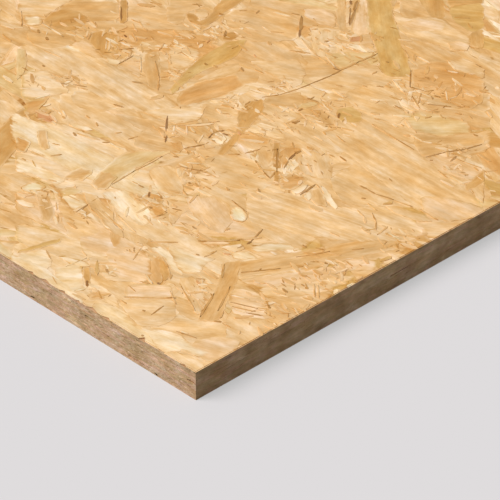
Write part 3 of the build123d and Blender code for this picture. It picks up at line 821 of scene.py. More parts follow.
def drawn_mark(colour, width, start, end, chance):
    """A thin splinter, gap or flake between two picture points."""
    a, b = face_point(start), face_point(end)
    along = b - a
    across = np.array([-along[1], along[0]]) / np.linalg.norm(along) * width / 2 / millimetres_in_metre
    points = np.array([a + along * share + across * side for share, side in mark_shape])
    return {
        "outline": points + chance.normal(0, mark_wear, points.shape),
        "place": (a + b) / 2,
        "angle": math.atan2(along[1], along[0]),
        "colour": wood_colours[colour],
        "lighter": 0,
        "rings": mark_rings,
        "soft": width * mark_rim,
        "seed": chance.uniform(0, seed_range),
        "faint": mark_faintness,
    }


# Face strands
# Thin flakes of softwood, cut along the grain, wetted with resin and pressed
# flat. Most lie along the sheet. Each hides part of the ones laid before it,
# so the upper ones are flush with the face and the lower ones lie deeper.
# Small square cells keep count of what lies where
laying_cell = 0.0025
cell_margin = 0.6
surely_filled = 0.88

# How deep each level lies, and how the edge of a strand goes down to the bed
flush_drop = 0.0002
levels_to_half_drop = 9
least_step = 0.0000025
level_spread = 0.5
feather_width = 0.00018
rim_steepness, tucked_share = 1.5, 0.5
bed_depth = 0.0006

# Each face is made in zones, and each sawn side in as many lengths
zones_along, zones_across = 4, 2

# The strands that aren't drawn: their colours with the share of each, the
# sizes of the two lots that are laid in turn, and how much they vary
colour_shares = {
    "cream": 0.03, "pale": 0.12, "rosy": 0.07, "straw": 0.22, "green_straw": 0.08,
    "sand": 0.2, "tan": 0.12, "olive": 0.05, "orange": 0.06, "ochre": 0.03,
}
strands_tried = 2600
strand_lengths, strand_widths = (0.07, 0.14), (0.008, 0.028)
least_cells_seen = 12
filling_rounds, fillers_in_round = 60, 120
filler_lengths, filler_widths = (0.04, 0.11), (0.008, 0.026)
filler_stray = 0.006
least_cells_filled = 3
bare_share = 0.003
lying_along_share, lying_along_spread = 0.75, math.radians(22)
shade_spread = 0.06
bend_spread = 0.012
ring_range = (0.3, 1.2)
end_widths, end_width_shares = (0.15, 0.4, 0.75, 0.9), (0.2, 0.2, 0.3, 0.3)
end_slant, end_raggedness = 0.35, 0.12
side_wobble = 0.05
longest_end = 0.7
straight_share = 0.7
strand_stations = (-1, -straight_share, straight_share, 1)

# Fines: short splinters and chips with no soft rim, on all of a face and in
# the broken patches. Each kind has its lengths, its widths, its colours and
# the share of its width that its ends keep.
fine_stations = (-1, 0, 1)
fine_rings = 0.3
fine_rim = 0.01
fines_on_face, lower_fines_share = 1000, 0.5
# The amber and brown splinters, here and in the patches, are partly darker wood and partly painted shade of
# thin gaps
splinters = (0.002, 0.012), (0.0004, 0.0010), ("cream", "cream", "amber", "amber", "brown"), 0.1
chips = (0.006, 0.026), (0.0012, 0.0045), ("cream", "pale", "straw", "tan", "ochre", "orange", "pale"), 0.5
patch_flakes = (0.003, 0.011), (0.001, 0.003), ("cream", "pale", "rosy", "tan", "ochre", "orange"), 0.5
patch_splinters = (0.0015, 0.005), (0.0004, 0.001), ("cream", "amber", "amber", "brown"), 0.2
flake_faintness, splinter_faintness = (0.2, 0.6), (0.2, 0.5)
patch_spread, patch_turn = 0.6, math.radians(45)


class Bed:
    """One face of the sheet while strands are laid, counted from the top down."""

    def __init__(self):
        self.low = np.array(panel_low.xy)
        self.count = np.ceil((np.array(panel_high.xy) - self.low) / laying_cell).astype(int)
        self.levels = np.full(self.count, -1, np.int16)
        self.covered = np.zeros(self.count, bool)
        self.strands = []

    def window(self, low, high):
        """The cells of a rectangle, and the middles of those cells."""
        first = np.clip(((low - self.low) / laying_cell).astype(int), 0, self.count)
        last = np.clip(((high - self.low) / laying_cell).astype(int) + 1, 0, self.count)
        x = (np.arange(first[0], last[0]) + 0.5) * laying_cell + self.low[0]
        y = (np.arange(first[1], last[1]) + 0.5) * laying_cell + self.low[1]
        return (slice(first[0], last[0]), slice(first[1], last[1])), x[:, None], y[None, :]

    def settle(self, strand, window, touched, inside, filled):
        """Gives a strand the first level that is free where it lies."""
        levels = self.levels[window]
        strand["level"] = int(levels[touched].max(initial=-1)) + 1
        levels[touched] = strand["level"]
        self.covered[window] |= filled
        strand["window"], strand["inside"] = window, inside
        self.strands.append(strand)

    def lay(self, strand, least_seen):
        """Adds a strand under all that lie there, unless they hide it."""
        place, angle = strand["place"], strand["angle"]
        half_length, half_width = strand["length"] / 2, strand["width"] / 2
        reach = half_length + half_width
        window, x, y = self.window(place - reach, place + reach)
        if x.size == 0 or y.size == 0:
            return
        x, y = x - place[0], y - place[1]
        along = np.abs(x * math.cos(angle) + y * math.sin(angle))
        bow = strand["bend"] * (1 - (along / half_length) ** 2)
        across = np.abs(-x * math.sin(angle) + y * math.cos(angle) - bow)
        touched = (along < half_length + laying_cell) & (across < half_width + laying_cell)
        narrow = np.clip((along / half_length - straight_share) / (1 - straight_share), 0, 1)
        kept_width = half_width * (1 - narrow * (1 - strand["end_widths"].min()))
        inside = (along < half_length) & (across < kept_width)
        filled = (along < surely_filled * half_length) & (across < kept_width - laying_cell * cell_margin)
        if (filled & ~self.covered[window]).sum() >= least_seen:
            self.settle(strand, window, touched, inside, filled)

    def lay_drawn(self, strand):
        """Adds a strand that has an outline, under all that lie there."""
        outline = strand["outline"]
        window, x, y = self.window(outline.min(0) - laying_cell, outline.max(0) + laying_cell)
        x, y = np.broadcast_arrays(x, y)
        inside = np.zeros(x.shape, bool)
        near = np.zeros(x.shape, bool)
        for (ax, ay), (bx, by) in zip(outline, np.roll(outline, -1, axis=0)):
            if ay != by:
                inside ^= ((y < ay) != (y < by)) & (x < (bx - ax) * (y - ay) / (by - ay) + ax)
            near |= (x - ax) ** 2 + (y - ay) ** 2 < laying_cell**2
        self.settle(strand, window, inside | near, inside, inside & ~near)

    def find_what_lies_under(self):
        """Gives each strand the colours that lie under its sides, from the bottom up."""
        seen = np.empty((*self.count, 3))
        seen[:] = linear_colour(bed_wood)
        for strand in reversed(self.strands):
            if "outline" in strand:
                points = strand["outline"]
            else:
                c, s = math.cos(strand["angle"]), math.sin(strand["angle"])
                along = np.repeat(strand["stations"], 2) * strand["length"] / 2
                across = np.tile((-1, 1), len(strand["stations"])) * strand["width"] / 2
                points = strand["place"] + np.stack([along * c - across * s, along * s + across * c], -1)
            cells = np.clip(((points - self.low) / laying_cell).astype(int), 0, self.count - 1)
            strand["under"] = seen[cells[:, 0], cells[:, 1]]
            seen[strand["window"]][strand["inside"]] = linear_colour(strand)


def new_strand(place, angle, length, width, colour, stations):
    """A flake with its size, lie, colour and the shape of its two ends."""
    return {
        "stations": stations,
        "place": np.array(place, float),
        "angle": angle,
        "length": length,
        "width": width,
        "bend": random.normal(0, bend_spread) * length,
        "colour": wood_colours[colour],
        "lighter": random.normal(0, shade_spread),
        "rings": random.uniform(*ring_range),
        "soft": random.uniform(crisp_edge, faded_edge),
        "seed": random.uniform(0, seed_range),
        "end_widths": random.choice(end_widths, 2, p=end_width_shares),
        "slants": random.normal(0, end_slant, 2) * width,
        "ragged": end_raggedness * width,
        "faint": 0,
    }


def strand_angle():
    """Most strands lie within some 25 degrees of the sheet's length."""
    if random.random() < lying_along_share:
        return random.normal(0, lying_along_spread)
    return random.uniform(-math.pi / 2, math.pi / 2)


def splinter_angle():
    """The splinters of a patch lie more or less along the sheet."""
    return random.normal(0, patch_turn)


def random_strand(place, lengths, widths):
    """A strand in the sizes given, in one of the colours of the sheet."""
    length, width = random.uniform(*lengths), random.uniform(*widths)
    angle = strand_angle()
    names, shares = list(colour_shares), np.array(list(colour_shares.values()))
    colour = names[random.choice(len(names), p=shares / shares.sum())]
    return new_strand(place, angle, length, width, colour, strand_stations)


def random_fine(place, turned, lengths, widths, colours, end_width):
    """A splinter or chip in the sizes given, in one of the colours given."""
    length, width = random.uniform(*lengths), random.uniform(*widths)
    fine = new_strand(place, turned(), length, width, random.choice(colours), fine_stations)
    fine["end_widths"] = np.array([end_width, end_width])
    return fine


def lay_fines(bed, share):
    """Splinters, and gaps painted as dark shade, then chips, as a share of what the upper face has."""
    low, high = np.array(panel_low.xy), np.array(panel_high.xy)
    for kind in (splinters, chips):
        for place in random.uniform(low, high, (int(fines_on_face * share), 2)):
            fine = random_fine(place, strand_angle, *kind)
            fine["rings"] = fine_rings
            bed.lay(fine, 0)


def lay_patches(bed):
    """Breaks up the patches of the table above, each time with a flake and a splinter."""
    kinds = (
        (patch_flakes, strand_angle, flake_faintness),
        (patch_splinters, splinter_angle, splinter_faintness),
    )
    for middle, reach, count in corner_patches:
        for kind, turned, faintness in kinds * count:
            place = face_point(np.array(middle) + random.normal(0, patch_spread, 2) * reach)
            fine = random_fine(place, turned, *kind)
            fine["faint"] = random.uniform(*faintness)
            bed.lay(fine, 0)


def lay_random_strands(bed):
    """Scatters strands until hardly any of the face is bare."""
    centre = (np.array(panel_low.xy) + np.array(panel_high.xy)) / 2
    half = (np.array(panel_high.xy) - np.array(panel_low.xy)) / 2
    for _ in range(strands_tried):
        place = centre + random.uniform(-1, 1, 2) * half
        bed.lay(random_strand(place, strand_lengths, strand_widths), least_cells_seen)
    for _ in range(filling_rounds):
        bare = np.argwhere(~bed.covered)
        if len(bare) < bare_share * bed.covered.size:
            break
        for cell in bare[random.integers(0, len(bare), fillers_in_round)]:
            place = (cell + 0.5) * laying_cell + bed.low + random.normal(0, filler_stray, 2)
            bed.lay(random_strand(place, filler_lengths, filler_widths), least_cells_filled)


# What shows between the strands, a step darker than ochre, partly as painted
# shade in the voids, and how much red, green and blue change as wood gets a
# step lighter and a step warmer
bed_wood = {"colour": wood_colours["ochre"], "lighter": -0.15}
bed_seed, bed_softness = 9, 0.0001
lighter_wood = np.array([1.6, 2.15, 4.2])
warmer_wood = (0.3, 0, -0.65)

# The figure of the wood: how many waves a metre it has along the grain and
# across it, how far a strand's seed shifts it, and how much it lightens
cloud_scales, cloud_weight = (60, 130, 7.3), 1.5
ring_scales, ring_weight = (6, 450, 3.7), 0.34
fibre_scales, fibre_weight = (45, 1500, 5.1), 0.34
speckle_scales, speckle_weight = (260, 620, 9.1), 0.38
warmth_scales = (40, 110, 2.3)
streak_roughness = 0.6
ring_waviness = 0.003
mean_shade = -0.03

# Painted shade in dashes along the rims, where a proud strand edge would shade a
# small gap, and the rims' soft way into what lies under them
gap_scales, painted_gap_shade = (150, 150, 4.9), 6
gap_width, least_gap = 0.0007, 0.04
rim_raggedness, rim_spread = 1.4, 0.15
least_blend, blend_with_softness = 0.3, 280

# The sheen of bare wood and the fine relief of its grain
wood_roughness, wood_sheen = 0.55, 0.2
bump_strength, face_bump = 0.5, 0.0001
cloud_relief = 3


def strand_depth(level):
    """Upper strands are flush, and each lower one a little deeper."""
    return flush_drop * (1 - 0.5 ** (level / levels_to_half_drop)) + least_step * level


def as_light(written):
    """A colour as light, from the way the picture writes it."""
    return ((np.array(written) / 255 + 0.055) / 1.055) ** 2.4


def linear_colour(strand):
    """A strand's own colour as light, a little lighter or darker than its name."""
    return as_light(strand["colour"]) * lighter_wood ** strand["lighter"]


def mesh_part(points, corners, sizes, flat, **finish):
    """One lot of vertices and faces, with the values that its finish reads."""
    values = {name: np.broadcast_to(value, points.shape).reshape(-1, 3) for name, value in finish.items()}
    return {
        "points": points.reshape(-1, 3), "corners": corners.ravel(), "sizes": np.array(sizes),
        "flat": flat.reshape(-1, 2), **values,
    }


def flake_template(stations, columns, facing):
    """The faces of one flake, the points round its edge, and the side each is on."""
    index = np.arange(len(stations) * columns).reshape(len(stations), columns)
    tops = np.stack([index[:-1, :-1], index[1:, :-1], index[1:, 1:], index[:-1, 1:]], -1)
    loop = np.concatenate([index[:, 0], index[-1, 1:], index[-2::-1, -1], index[0, -2:0:-1]])
    foot = index.size + np.arange(len(loop))
    walls = np.stack([loop, foot, np.roll(foot, -1), np.roll(loop, -1)], -1)
    faces = np.concatenate([walls, tops.reshape(-1, 4)])
    lie = np.stack([np.repeat(stations, columns), np.tile(np.linspace(-1, 1, columns), len(stations))], -1)
    return faces[:, ::facing], loop, np.trunc(lie[loop])


def strand_arrays(strands, stations, columns, height, facing):
    """The mesh and finish values of many flakes, the deepest first."""
    strands = sorted(strands, key=lambda strand: -strand["level"])
    template, loop, side = flake_template(stations, columns, facing)
    count, per_strand = len(strands), len(stations) * columns
    station = np.array(stations)[None, :, None]
    column = np.linspace(-1, 1, columns)[None, None, :]

    def each(name):
        return np.array([strand[name] for strand in strands], float)

    def at_ends(name):
        values = each(name)[:, :, None, None]
        return np.where(station < 0, values[:, 0], values[:, 1])

    def placed(points):
        angle, place = each("angle")[:, None], each("place")
        x = place[:, 0, None] + points[:, :, 0] * np.cos(angle) - points[:, :, 1] * np.sin(angle)
        y = place[:, 1, None] + points[:, :, 0] * np.sin(angle) + points[:, :, 1] * np.cos(angle)
        return np.stack([x, y], -1)

    length, width, ragged, bend, faint = (
        each(name)[:, None, None] for name in ("length", "width", "ragged", "bend", "faint")
    )
    tip = at_ends("end_widths")
    narrow = np.clip((np.abs(station) - straight_share) / (1 - straight_share), 0, 1)
    wobble = 1 + random.normal(0, side_wobble, (count, len(stations), 1))
    half_width = width / 2 * (1 - narrow * (1 - tip)) * wobble
    across = column * half_width
    at_tip = np.abs(station) == 1
    uneven = column * at_ends("slants") * tip + random.normal(0, 1, across.shape) * ragged
    longest = (1 - straight_share) / 2 * length * longest_end
    along = station * length / 2 + at_tip * np.clip(uneven, -longest, longest)
    rim = np.where(at_tip, 0, np.maximum(half_width - np.abs(across), 0))
    if stations == fine_stations:
        rim = np.full_like(across, fine_rim)

    bowed = across + bend * (1 - station**2)
    top = np.stack([along, bowed, rim, across], -1).reshape(count, per_strand, 4)
    foot, tucked = top[:, loop].copy(), top[:, loop].copy()
    foot[:, :, :2] += feather_width * side
    tucked[:, :, :2] -= feather_width * side
    every = np.concatenate([top, foot], 1)
    depth = strand_depth(each("level") + random.uniform(0, level_spread, count))[:, None]
    depth = np.where(np.arange(per_strand + len(loop)) < per_strand, depth, bed_depth)
    points = np.concatenate([placed(every), (height - facing * depth)[:, :, None]], -1)
    under = np.array([strand["under"] for strand in strands]).reshape(count, len(stations), 2, 3)
    if columns == 3:
        under = np.stack([under[:, :, 0], under.mean(2), under[:, :, 1]], 2)
    under = under.reshape(count, per_strand, 3)
    under = np.concatenate([under, under[:, loop]], 1)
    own = np.array([linear_colour(strand) for strand in strands])[:, None, :]
    faces = (template + (np.arange(count) * points.shape[1])[:, None, None]).reshape(-1, 4)
    return mesh_part(
        points, faces, [4] * len(faces), placed(np.concatenate([top, tucked], 1)),
        grain=every[:, :, [0, 3, 2]], colour=own * (1 - faint) + under * faint, under=under,
        figure=np.stack([each("seed"), each("rings"), each("soft")], -1)[:, None, :],
    )


def drawn_arrays(strand, height):
    """The mesh and finish values of one strand with an outline of its own."""
    outline, under = strand["outline"], strand["under"]
    inwards = inner_normals(outline)
    if turning(outline) < 0:
        outline, inwards, under = outline[::-1], inwards[::-1], under[::-1]
    count = len(outline)
    inset = unfolded_inset(outline, inwards, strand["soft"])
    inner = outline + inwards * inset[:, None]
    foot = outline - inwards * feather_width
    tucked = outline + inwards * inset[:, None] * tucked_share
    xy = np.concatenate([foot, outline, inner])
    depth = np.repeat([bed_depth, strand_depth(strand["level"])], [count, 2 * count])
    i = np.arange(count)
    j = np.roll(i, -1)
    walls = np.stack([i, j, j + count, i + count], -1)
    rims = walls + count
    away = xy - strand["place"]
    c, s = math.cos(strand["angle"]), math.sin(strand["angle"])
    rim = np.concatenate([np.zeros(2 * count), inset * rim_steepness])
    under = np.tile(under, (3, 1))
    return mesh_part(
        np.concatenate([xy, (height - depth)[:, None]], 1),
        np.concatenate([walls.ravel(), rims.ravel(), i + 2 * count]),
        [4] * (2 * count) + [count],
        np.concatenate([tucked, outline, inner]),
        grain=np.stack([away[:, 0] * c + away[:, 1] * s, -away[:, 0] * s + away[:, 1] * c, rim], -1),
        colour=linear_colour(strand) * (1 - strand["faint"]) + under * strand["faint"], under=under,
        figure=(strand["seed"], strand["rings"], float(np.median(inset))),
    )


def bed_arrays(low, high, height, facing):
    """The deeper board that shows between the strands, as one flat sheet."""
    z = height - facing * bed_depth
    (x0, y0), (x1, y1) = low, high
    points = np.array([(x0, y0, z), (x1, y0, z), (x1, y1, z), (x0, y1, z)])
    wood = linear_colour(bed_wood)
    return mesh_part(
        points, np.arange(4)[::facing], [4], points[:, :2],
        grain=points * (1, 1, 0) + (0, 0, 1), colour=wood, under=wood, figure=(bed_seed, 0, bed_softness),
    )


def mesh_from_arrays(name, parts, facing=1):
    """One object from several lots of vertices, faces and finish values."""
    starts = np.cumsum([0] + [len(p["points"]) for p in parts[:-1]])
    joined = {key: np.concatenate([p[key] for p in parts]) for key in parts[0]}
    corners = np.concatenate([p["corners"] + start for p, start in zip(parts, starts)])
    sizes = joined["sizes"]
    mesh = bpy.data.meshes.new(name)
    mesh.vertices.add(len(joined["points"]))
    mesh.vertices.foreach_set("co", joined["points"].ravel())
    mesh.loops.add(len(corners))
    mesh.loops.foreach_set("vertex_index", corners)
    mesh.polygons.add(len(sizes))
    mesh.polygons.foreach_set("loop_start", np.concatenate([[0], np.cumsum(sizes)[:-1]]))
    mesh.update(calc_edges=True)
    mesh.shade_flat()
    for label in ("grain", "colour", "under", "figure"):
        if label in joined:
            layer = mesh.attributes.new(label, "FLOAT_VECTOR", "POINT")
            layer.data.foreach_set("vector", joined[label].ravel())
    flat = joined["flat"]
    low, high = flat.min(0), flat.max(0)
    flat = (flat - low) / (high - low)
    if facing < 0:
        flat = flat * (-1, 1) + (1, 0)
    chart = mesh.uv_layers.new(name="OFBake")
    chart.data.foreach_set("uv", flat[corners].ravel())
    made = bpy.data.objects.new(name, mesh)
    scene.collection.objects.link(made)
    return made


# A top counts as a hair higher than the walls round it, if it faces outwards
top_lift, faces_outwards = 2e-9, 0.5
cut_tolerance = 1e-6


def put_top_faces_last(piece, outwards):
    """Orders the faces from the deepest to the outermost, walls before tops."""
    outwards = Vector(outwards)

    def height(face):
        highest = max(corner.co.dot(outwards) for corner in face.verts)
        return highest + (top_lift if face.normal.dot(outwards) > faces_outwards else 0)

    faces = bmesh.new()
    faces.from_mesh(piece.data)
    faces.faces.sort(key=height)
    faces.to_mesh(piece.data)
    faces.free()


def saw_off(piece, point, outwards):
    """Cuts away what stands past the sawn side through this point."""
    bpy.ops.object.select_all(action="DESELECT")
    bpy.context.view_layer.objects.active = piece
    piece.select_set(True)
    bpy.ops.object.mode_set(mode="EDIT")
    bpy.ops.mesh.select_all(action="SELECT")
    bpy.ops.mesh.bisect(plane_co=point, plane_no=outwards, threshold=cut_tolerance, clear_outer=True)
    bpy.ops.object.mode_set(mode="OBJECT")


def read_attribute(tree, name):
    """The vector that each strand carries under this name, and its three values."""
    stored = add_node(tree, "ShaderNodeAttribute", attribute_name=name).outputs["Vector"]
    return stored, *add_node(tree, "ShaderNodeSeparateXYZ", {0: stored}).outputs


def streaks(tree, along, across, seed, scales, detail):
    """Noise about nought, drawn out along the grain, new on every strand."""
    parts = [maths(tree, "MULTIPLY", value, scale) for value, scale in zip((along, across, seed), scales)]
    where = add_node(tree, "ShaderNodeCombineXYZ", dict(enumerate(parts)))
    inputs = {"Vector": where.outputs[0], "Scale": 1, "Detail": detail, "Roughness": streak_roughness}
    return maths(tree, "SUBTRACT", add_node(tree, "ShaderNodeTexNoise", inputs).outputs[0], 0.5)


def total(tree, start, *terms):
    """A value plus others, each times its weight."""
    for value, weight in terms:
        start = maths(tree, "ADD", start, maths(tree, "MULTIPLY", value, weight))
    return start


def above(tree, value, level):
    """How far a value is above a level, and nought where it is below."""
    return maths(tree, "MAXIMUM", maths(tree, "SUBTRACT", value, level), 0)


def tinted(tree, colour, factors):
    """A colour with its red, green and blue each times a factor of its own."""
    factors = add_node(tree, "ShaderNodeCombineXYZ", dict(enumerate(factors))).outputs[0]
    made = add_node(tree, "ShaderNodeVectorMath", {0: colour, 1: factors}, operation="MULTIPLY")
    return made.outputs[0]


def lightened(tree, colour, amount, strength=lighter_wood):
    """Wood gets lighter or darker along one line: most in blue, least in red."""
    return tinted(tree, colour, [maths(tree, "POWER", float(base), amount) for base in strength])


def warmed(tree, colour, amount):
    """Wood also gets redder or greyer, by resin and sap."""
    return tinted(tree, colour, [total(tree, 1, (amount, share)) for share in warmer_wood])


def matt_wood(tree, colour, relief, bump_height):
    """Bare wood: matt, with a faint sheen where resin has wetted it."""
    inputs = {"Strength": bump_strength, "Distance": bump_height, "Height": relief}
    bump = add_node(tree, "ShaderNodeBump", inputs)
    inputs = {"Roughness": wood_roughness, "Specular IOR Level": wood_sheen}
    inputs |= {"Base Color": colour, "Normal": bump.outputs[0]}
    shader = add_node(tree, "ShaderNodeBsdfPrincipled", inputs)
    add_node(tree, "ShaderNodeOutputMaterial", {"Surface": shader.outputs[0]})


def face_wood_material():
    """Resin-wetted softwood: each strand has its own colour and its own grain."""
    material, tree = new_material("pressed_softwood_strands")
    own_colour = read_attribute(tree, "colour")[0]
    under_colour = read_attribute(tree, "under")[0]
    _, seed, ring_strength, softness = read_attribute(tree, "figure")
    _, along, across, rim = read_attribute(tree, "grain")
    clouds = streaks(tree, along, across, seed, cloud_scales, 3)
    wavy = total(tree, across, (clouds, ring_waviness))
    rings = streaks(tree, along, wavy, seed, ring_scales, 1)
    fibres = streaks(tree, along, wavy, seed, fibre_scales, 2)
    speckle = streaks(tree, along, across, seed, speckle_scales, 3)
    own_rings = maths(tree, "MULTIPLY", rings, ring_strength)
    amount = total(
        tree, mean_shade, (own_rings, ring_weight), (fibres, fibre_weight),
        (clouds, cloud_weight), (speckle, speckle_weight),
    )
    # Painted shade: dark dashes near each rim, standing for the shadow in small gaps
    gaps = above(tree, streaks(tree, along, across, seed, gap_scales, 1), least_gap)
    edge = above(tree, 1, maths(tree, "DIVIDE", rim, gap_width))
    amount = total(tree, amount, (maths(tree, "MULTIPLY", gaps, edge), -painted_gap_shade))

    ragged = maths(tree, "ADD", maths(tree, "ADD", fibres, clouds), speckle)
    ragged = total(tree, -rim_spread, (ragged, rim_raggedness))
    inside = maths(tree, "ADD", maths(tree, "DIVIDE", rim, softness), ragged)
    most = maths(tree, "MINIMUM", total(tree, least_blend, (softness, blend_with_softness)), 1)
    ramp = {"Value": inside, "From Min": 0, "From Max": 1, "To Min": most, "To Max": 0}
    soft = add_node(tree, "ShaderNodeMapRange", ramp, interpolation_type="SMOOTHSTEP")
    blend = {0: soft.outputs["Result"], 6: own_colour, 7: under_colour}
    blended = add_node(tree, "ShaderNodeMix", blend, data_type="RGBA").outputs[2]
    warmth = streaks(tree, along, across, seed, warmth_scales, 5)
    colour = warmed(tree, lightened(tree, blended, amount), warmth)
    matt_wood(tree, colour, total(tree, rings, (clouds, cloud_relief)), face_bump)
    return material


# Torn strand ends
# The saw has pulled the ends of a few strands out of the upper arris of the
# front long edge. Each nick is a flat-bottomed wedge, read from the solid.
nick_gap = 0.00001
facing_up = 0.9
nick_seed_step, nick_softness, nick_rim = 11, 0.001, 0.01

# Where the floor and the two walls of a nick lie on its chart
nick_chart = (
    (0.05, 0.05), (0.95, 0.05), (0.5, 0.5),
    (0.05, 0.55), (0.95, 0.55), (0.95, 0.7), (0.05, 0.7),
    (0.05, 0.8), (0.95, 0.8), (0.95, 0.95), (0.05, 0.95),
)


def nick_floors():
    """The floor of each nick: its two points on the edge and its tip."""
    floors = []
    for face in panel.data.polygons:
        corners = [panel.matrix_world @ panel.data.vertices[v].co for v in face.vertices]
        middle = sum(corners, Vector()) / len(corners)
        if face.normal.z > facing_up and panel_low.z + nick_gap < middle.z < panel_high.z - nick_gap:
            corners.sort(key=lambda c: c.y)
            left, right = sorted(corners[:2], key=lambda c: c.x)
            floors.append((left, right, corners[2]))
    return floors


def select_faces(piece, chosen):
    """Selects these faces of a piece and nothing else."""
    piece.data.polygons.foreach_set("select", chosen)
    piece.data.edges.foreach_set("select", np.zeros(len(piece.data.edges), bool))
    piece.data.vertices.foreach_set("select", np.zeros(len(piece.data.vertices), bool))


def face_corners(piece):
    """The points of every face in a row, and where each face starts in it."""
    mesh = piece.data
    points = np.empty(len(mesh.vertices) * 3, np.float32)
    mesh.vertices.foreach_get("co", points)
    corners = np.empty(len(mesh.loops), np.int32)
    mesh.loops.foreach_get("vertex_index", corners)
    starts = np.empty(len(mesh.polygons), np.int32)
    mesh.polygons.foreach_get("loop_start", starts)
    return points.reshape(-1, 3)[corners], starts


def tear_out(piece, on_top):
    """Cuts the nicks out of a piece of the face, or else of the edge."""
    bpy.context.view_layer.objects.active = piece
    bpy.context.tool_settings.mesh_select_mode = (False, False, True)
    up = Vector((0, 0, 1))
    for left, right, tip in nick_floors():
        if on_top:
            sides = [(left, (tip - left).cross(up)), (right, (tip - right).cross(up))]
        else:
            sides = [(left, Vector((1, 0, 0))), (right, Vector((1, 0, 0))), (left, up)]
        for point, normal in sides:
            corners, starts = face_corners(piece)
            low = np.minimum.reduceat(corners, starts) - nick_gap
            high = np.maximum.reduceat(corners, starts) + nick_gap
            beside = (low[:, 0] < right.x) & (high[:, 0] > left.x)
            select_faces(piece, beside & (low[:, 1] < tip.y) & (high[:, 2] > left.z))
            bpy.ops.object.mode_set(mode="EDIT")
            bpy.ops.mesh.bisect(plane_co=point, plane_no=normal, threshold=cut_tolerance)
            bpy.ops.object.mode_set(mode="OBJECT")
    corners, starts = face_corners(piece)
    counts = np.diff(np.append(starts, len(corners)))
    middle = np.add.reduceat(corners, starts) / counts[:, None]
    torn = np.zeros(len(middle), bool)
    for left, right, tip in nick_floors():
        torn_here = (middle[:, 2] > left.z) & (middle[:, 0] > left.x) & (middle[:, 0] < right.x)
        if on_top:
            for point, inward in ((left, up.cross(left - tip)), (right, up.cross(tip - right))):
                away = (middle[:, 0] - point.x) * inward.x + (middle[:, 1] - point.y) * inward.y
                torn_here &= away > 0
        torn |= torn_here
    select_faces(piece, torn)
    bpy.ops.object.mode_set(mode="EDIT")
    bpy.ops.mesh.delete(type="FACE")
    bpy.ops.object.mode_set(mode="OBJECT")


def nick_arrays(left, right, tip, number):
    """The floor and the two walls that a torn strand has left."""
    lift = Vector((0, 0, panel_high.z - left.z))
    points = (left, right, tip, left, tip, tip + lift, left + lift, tip, right, right + lift, tip + lift)
    points = np.array([tuple(p) for p in points])
    along = points - points[0]
    # The nick takes the torn colour, which is partly painted shade
    wood = as_light(wood_colours["torn"])
    return mesh_part(
        points, np.arange(len(points)), [3, 4, 4], np.array(nick_chart) + (number, 0),
        grain=np.stack([along[:, 0], along[:, 1] + along[:, 2], np.full(len(points), nick_rim)], -1),
        colour=wood, under=wood, figure=(number * nick_seed_step, 1, nick_softness),
    )


def finish_piece(piece, material):
    """Gives a piece its finish and its place in the part."""
    piece.data.materials.append(material)
    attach(piece, "root")
    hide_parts("osb_panel")


def press_face(bed, name, height, facing, material):
    """Makes the laid strands of one face, in zones that share its area."""
    low, high = np.array(panel_low.xy), np.array(panel_high.xy)
    zones = np.array((zones_along, zones_across))
    zone = (high - low) / zones

    def zone_of(strand):
        """The zone that the middle of a strand is in, or else the nearest one."""
        return tuple(np.clip((strand["place"] - low) // zone, 0, zones - 1))

    for number, (i, j) in enumerate(np.ndindex(*zones), 1):
        zone_low = low + zone * (i, j)
        inside = [s for s in bed.strands if zone_of(s) == (i, j)]
        parts = [bed_arrays(zone_low, zone_low + zone, height, facing)]
        for stations, columns in ((strand_stations, 3), (fine_stations, 2)):
            strands = [s for s in inside if s.get("stations") == stations]
            parts.append(strand_arrays(strands, stations, columns, height, facing))
        drawn = sorted((s for s in inside if "outline" in s), key=lambda s: -s["level"])
        parts += [drawn_arrays(s, height) for s in drawn]
        for part in parts:
            part["flat"] = np.clip(part["flat"], low, high)
        piece = mesh_from_arrays(f"{name}_{number}", parts, facing)
        if i == 0:
            saw_off(piece, panel_low, (-1, 0, 0))
        if i == zones_along - 1:
            saw_off(piece, panel_high, (1, 0, 0))
        saw_off(piece, panel_low if j == 0 else panel_high, (0, -1 if j == 0 else 1, 0))
        if facing > 0 and i == zones_along - 1 and j == 0:
            tear_out(piece, True)
        put_top_faces_last(piece, (0, 0, facing))
        finish_piece(piece, material)


face_wood = face_wood_material()
nicks = [nick_arrays(*floor_corners, k) for k, floor_corners in enumerate(nick_floors())]
finish_piece(mesh_from_arrays("torn_strand_ends", nicks), face_wood)
upper_bed = Bed()
for mark in corner_marks:
    upper_bed.lay_drawn(drawn_mark(*mark, random))
flake_chance = np.random.default_rng(5)
for flake in small_flakes:
    upper_bed.lay_drawn(drawn_mark(*flake, flake_chance))
lay_patches(upper_bed)
for strand in corner_strands:
    upper_bed.lay_drawn(drawn_strand(*strand))
lay_fines(upper_bed, 1)
lay_random_strands(upper_bed)
upper_bed.find_what_lies_under()
press_face(upper_bed, "upper_strands", panel_high.z, 1, face_wood)

lower_bed = Bed()
lay_fines(lower_bed, lower_fines_share)
lay_random_strands(lower_bed)
lower_bed.find_what_lies_under()
press_face(lower_bed, "lower_strands", panel_low.z, -1, face_wood)

# Sawn edges
# The saw goes through every layer. Strands that lie along the cut show as long
# slivers and those that lie across it as short ones, each pinched where the
# press has squeezed it, with small holes where the layers don't meet, painted
# dark as the shade in them.
layer_height = 0.0009
layer_overlap = 1.5
face_layers = 6

# The layers wave: how far, how often in a metre and how much from one layer
# to the next
layer_waves = ((0.00035, 95, 0.5), (0.00025, 210, 0.9))
layer_stray = 0.00008

# Each sliver: its length, how far it runs over the next one, how many are
# missing, and how thick it is at stations along it
long_sliver, short_sliver = 0.012, 0.006
sliver_spread, sliver_overlap = (0.35, 1.7), 0.1
missing_on_long_side, missing_on_short_side = 0.03, 0.004
sliver_stations = np.array([0, 0.2, 0.8, 1])
pinched_share = np.array([0.35, 1, 1, 0.35])
short_side_pinch = 0.3
thickness_spread = (0.8, 1.2)

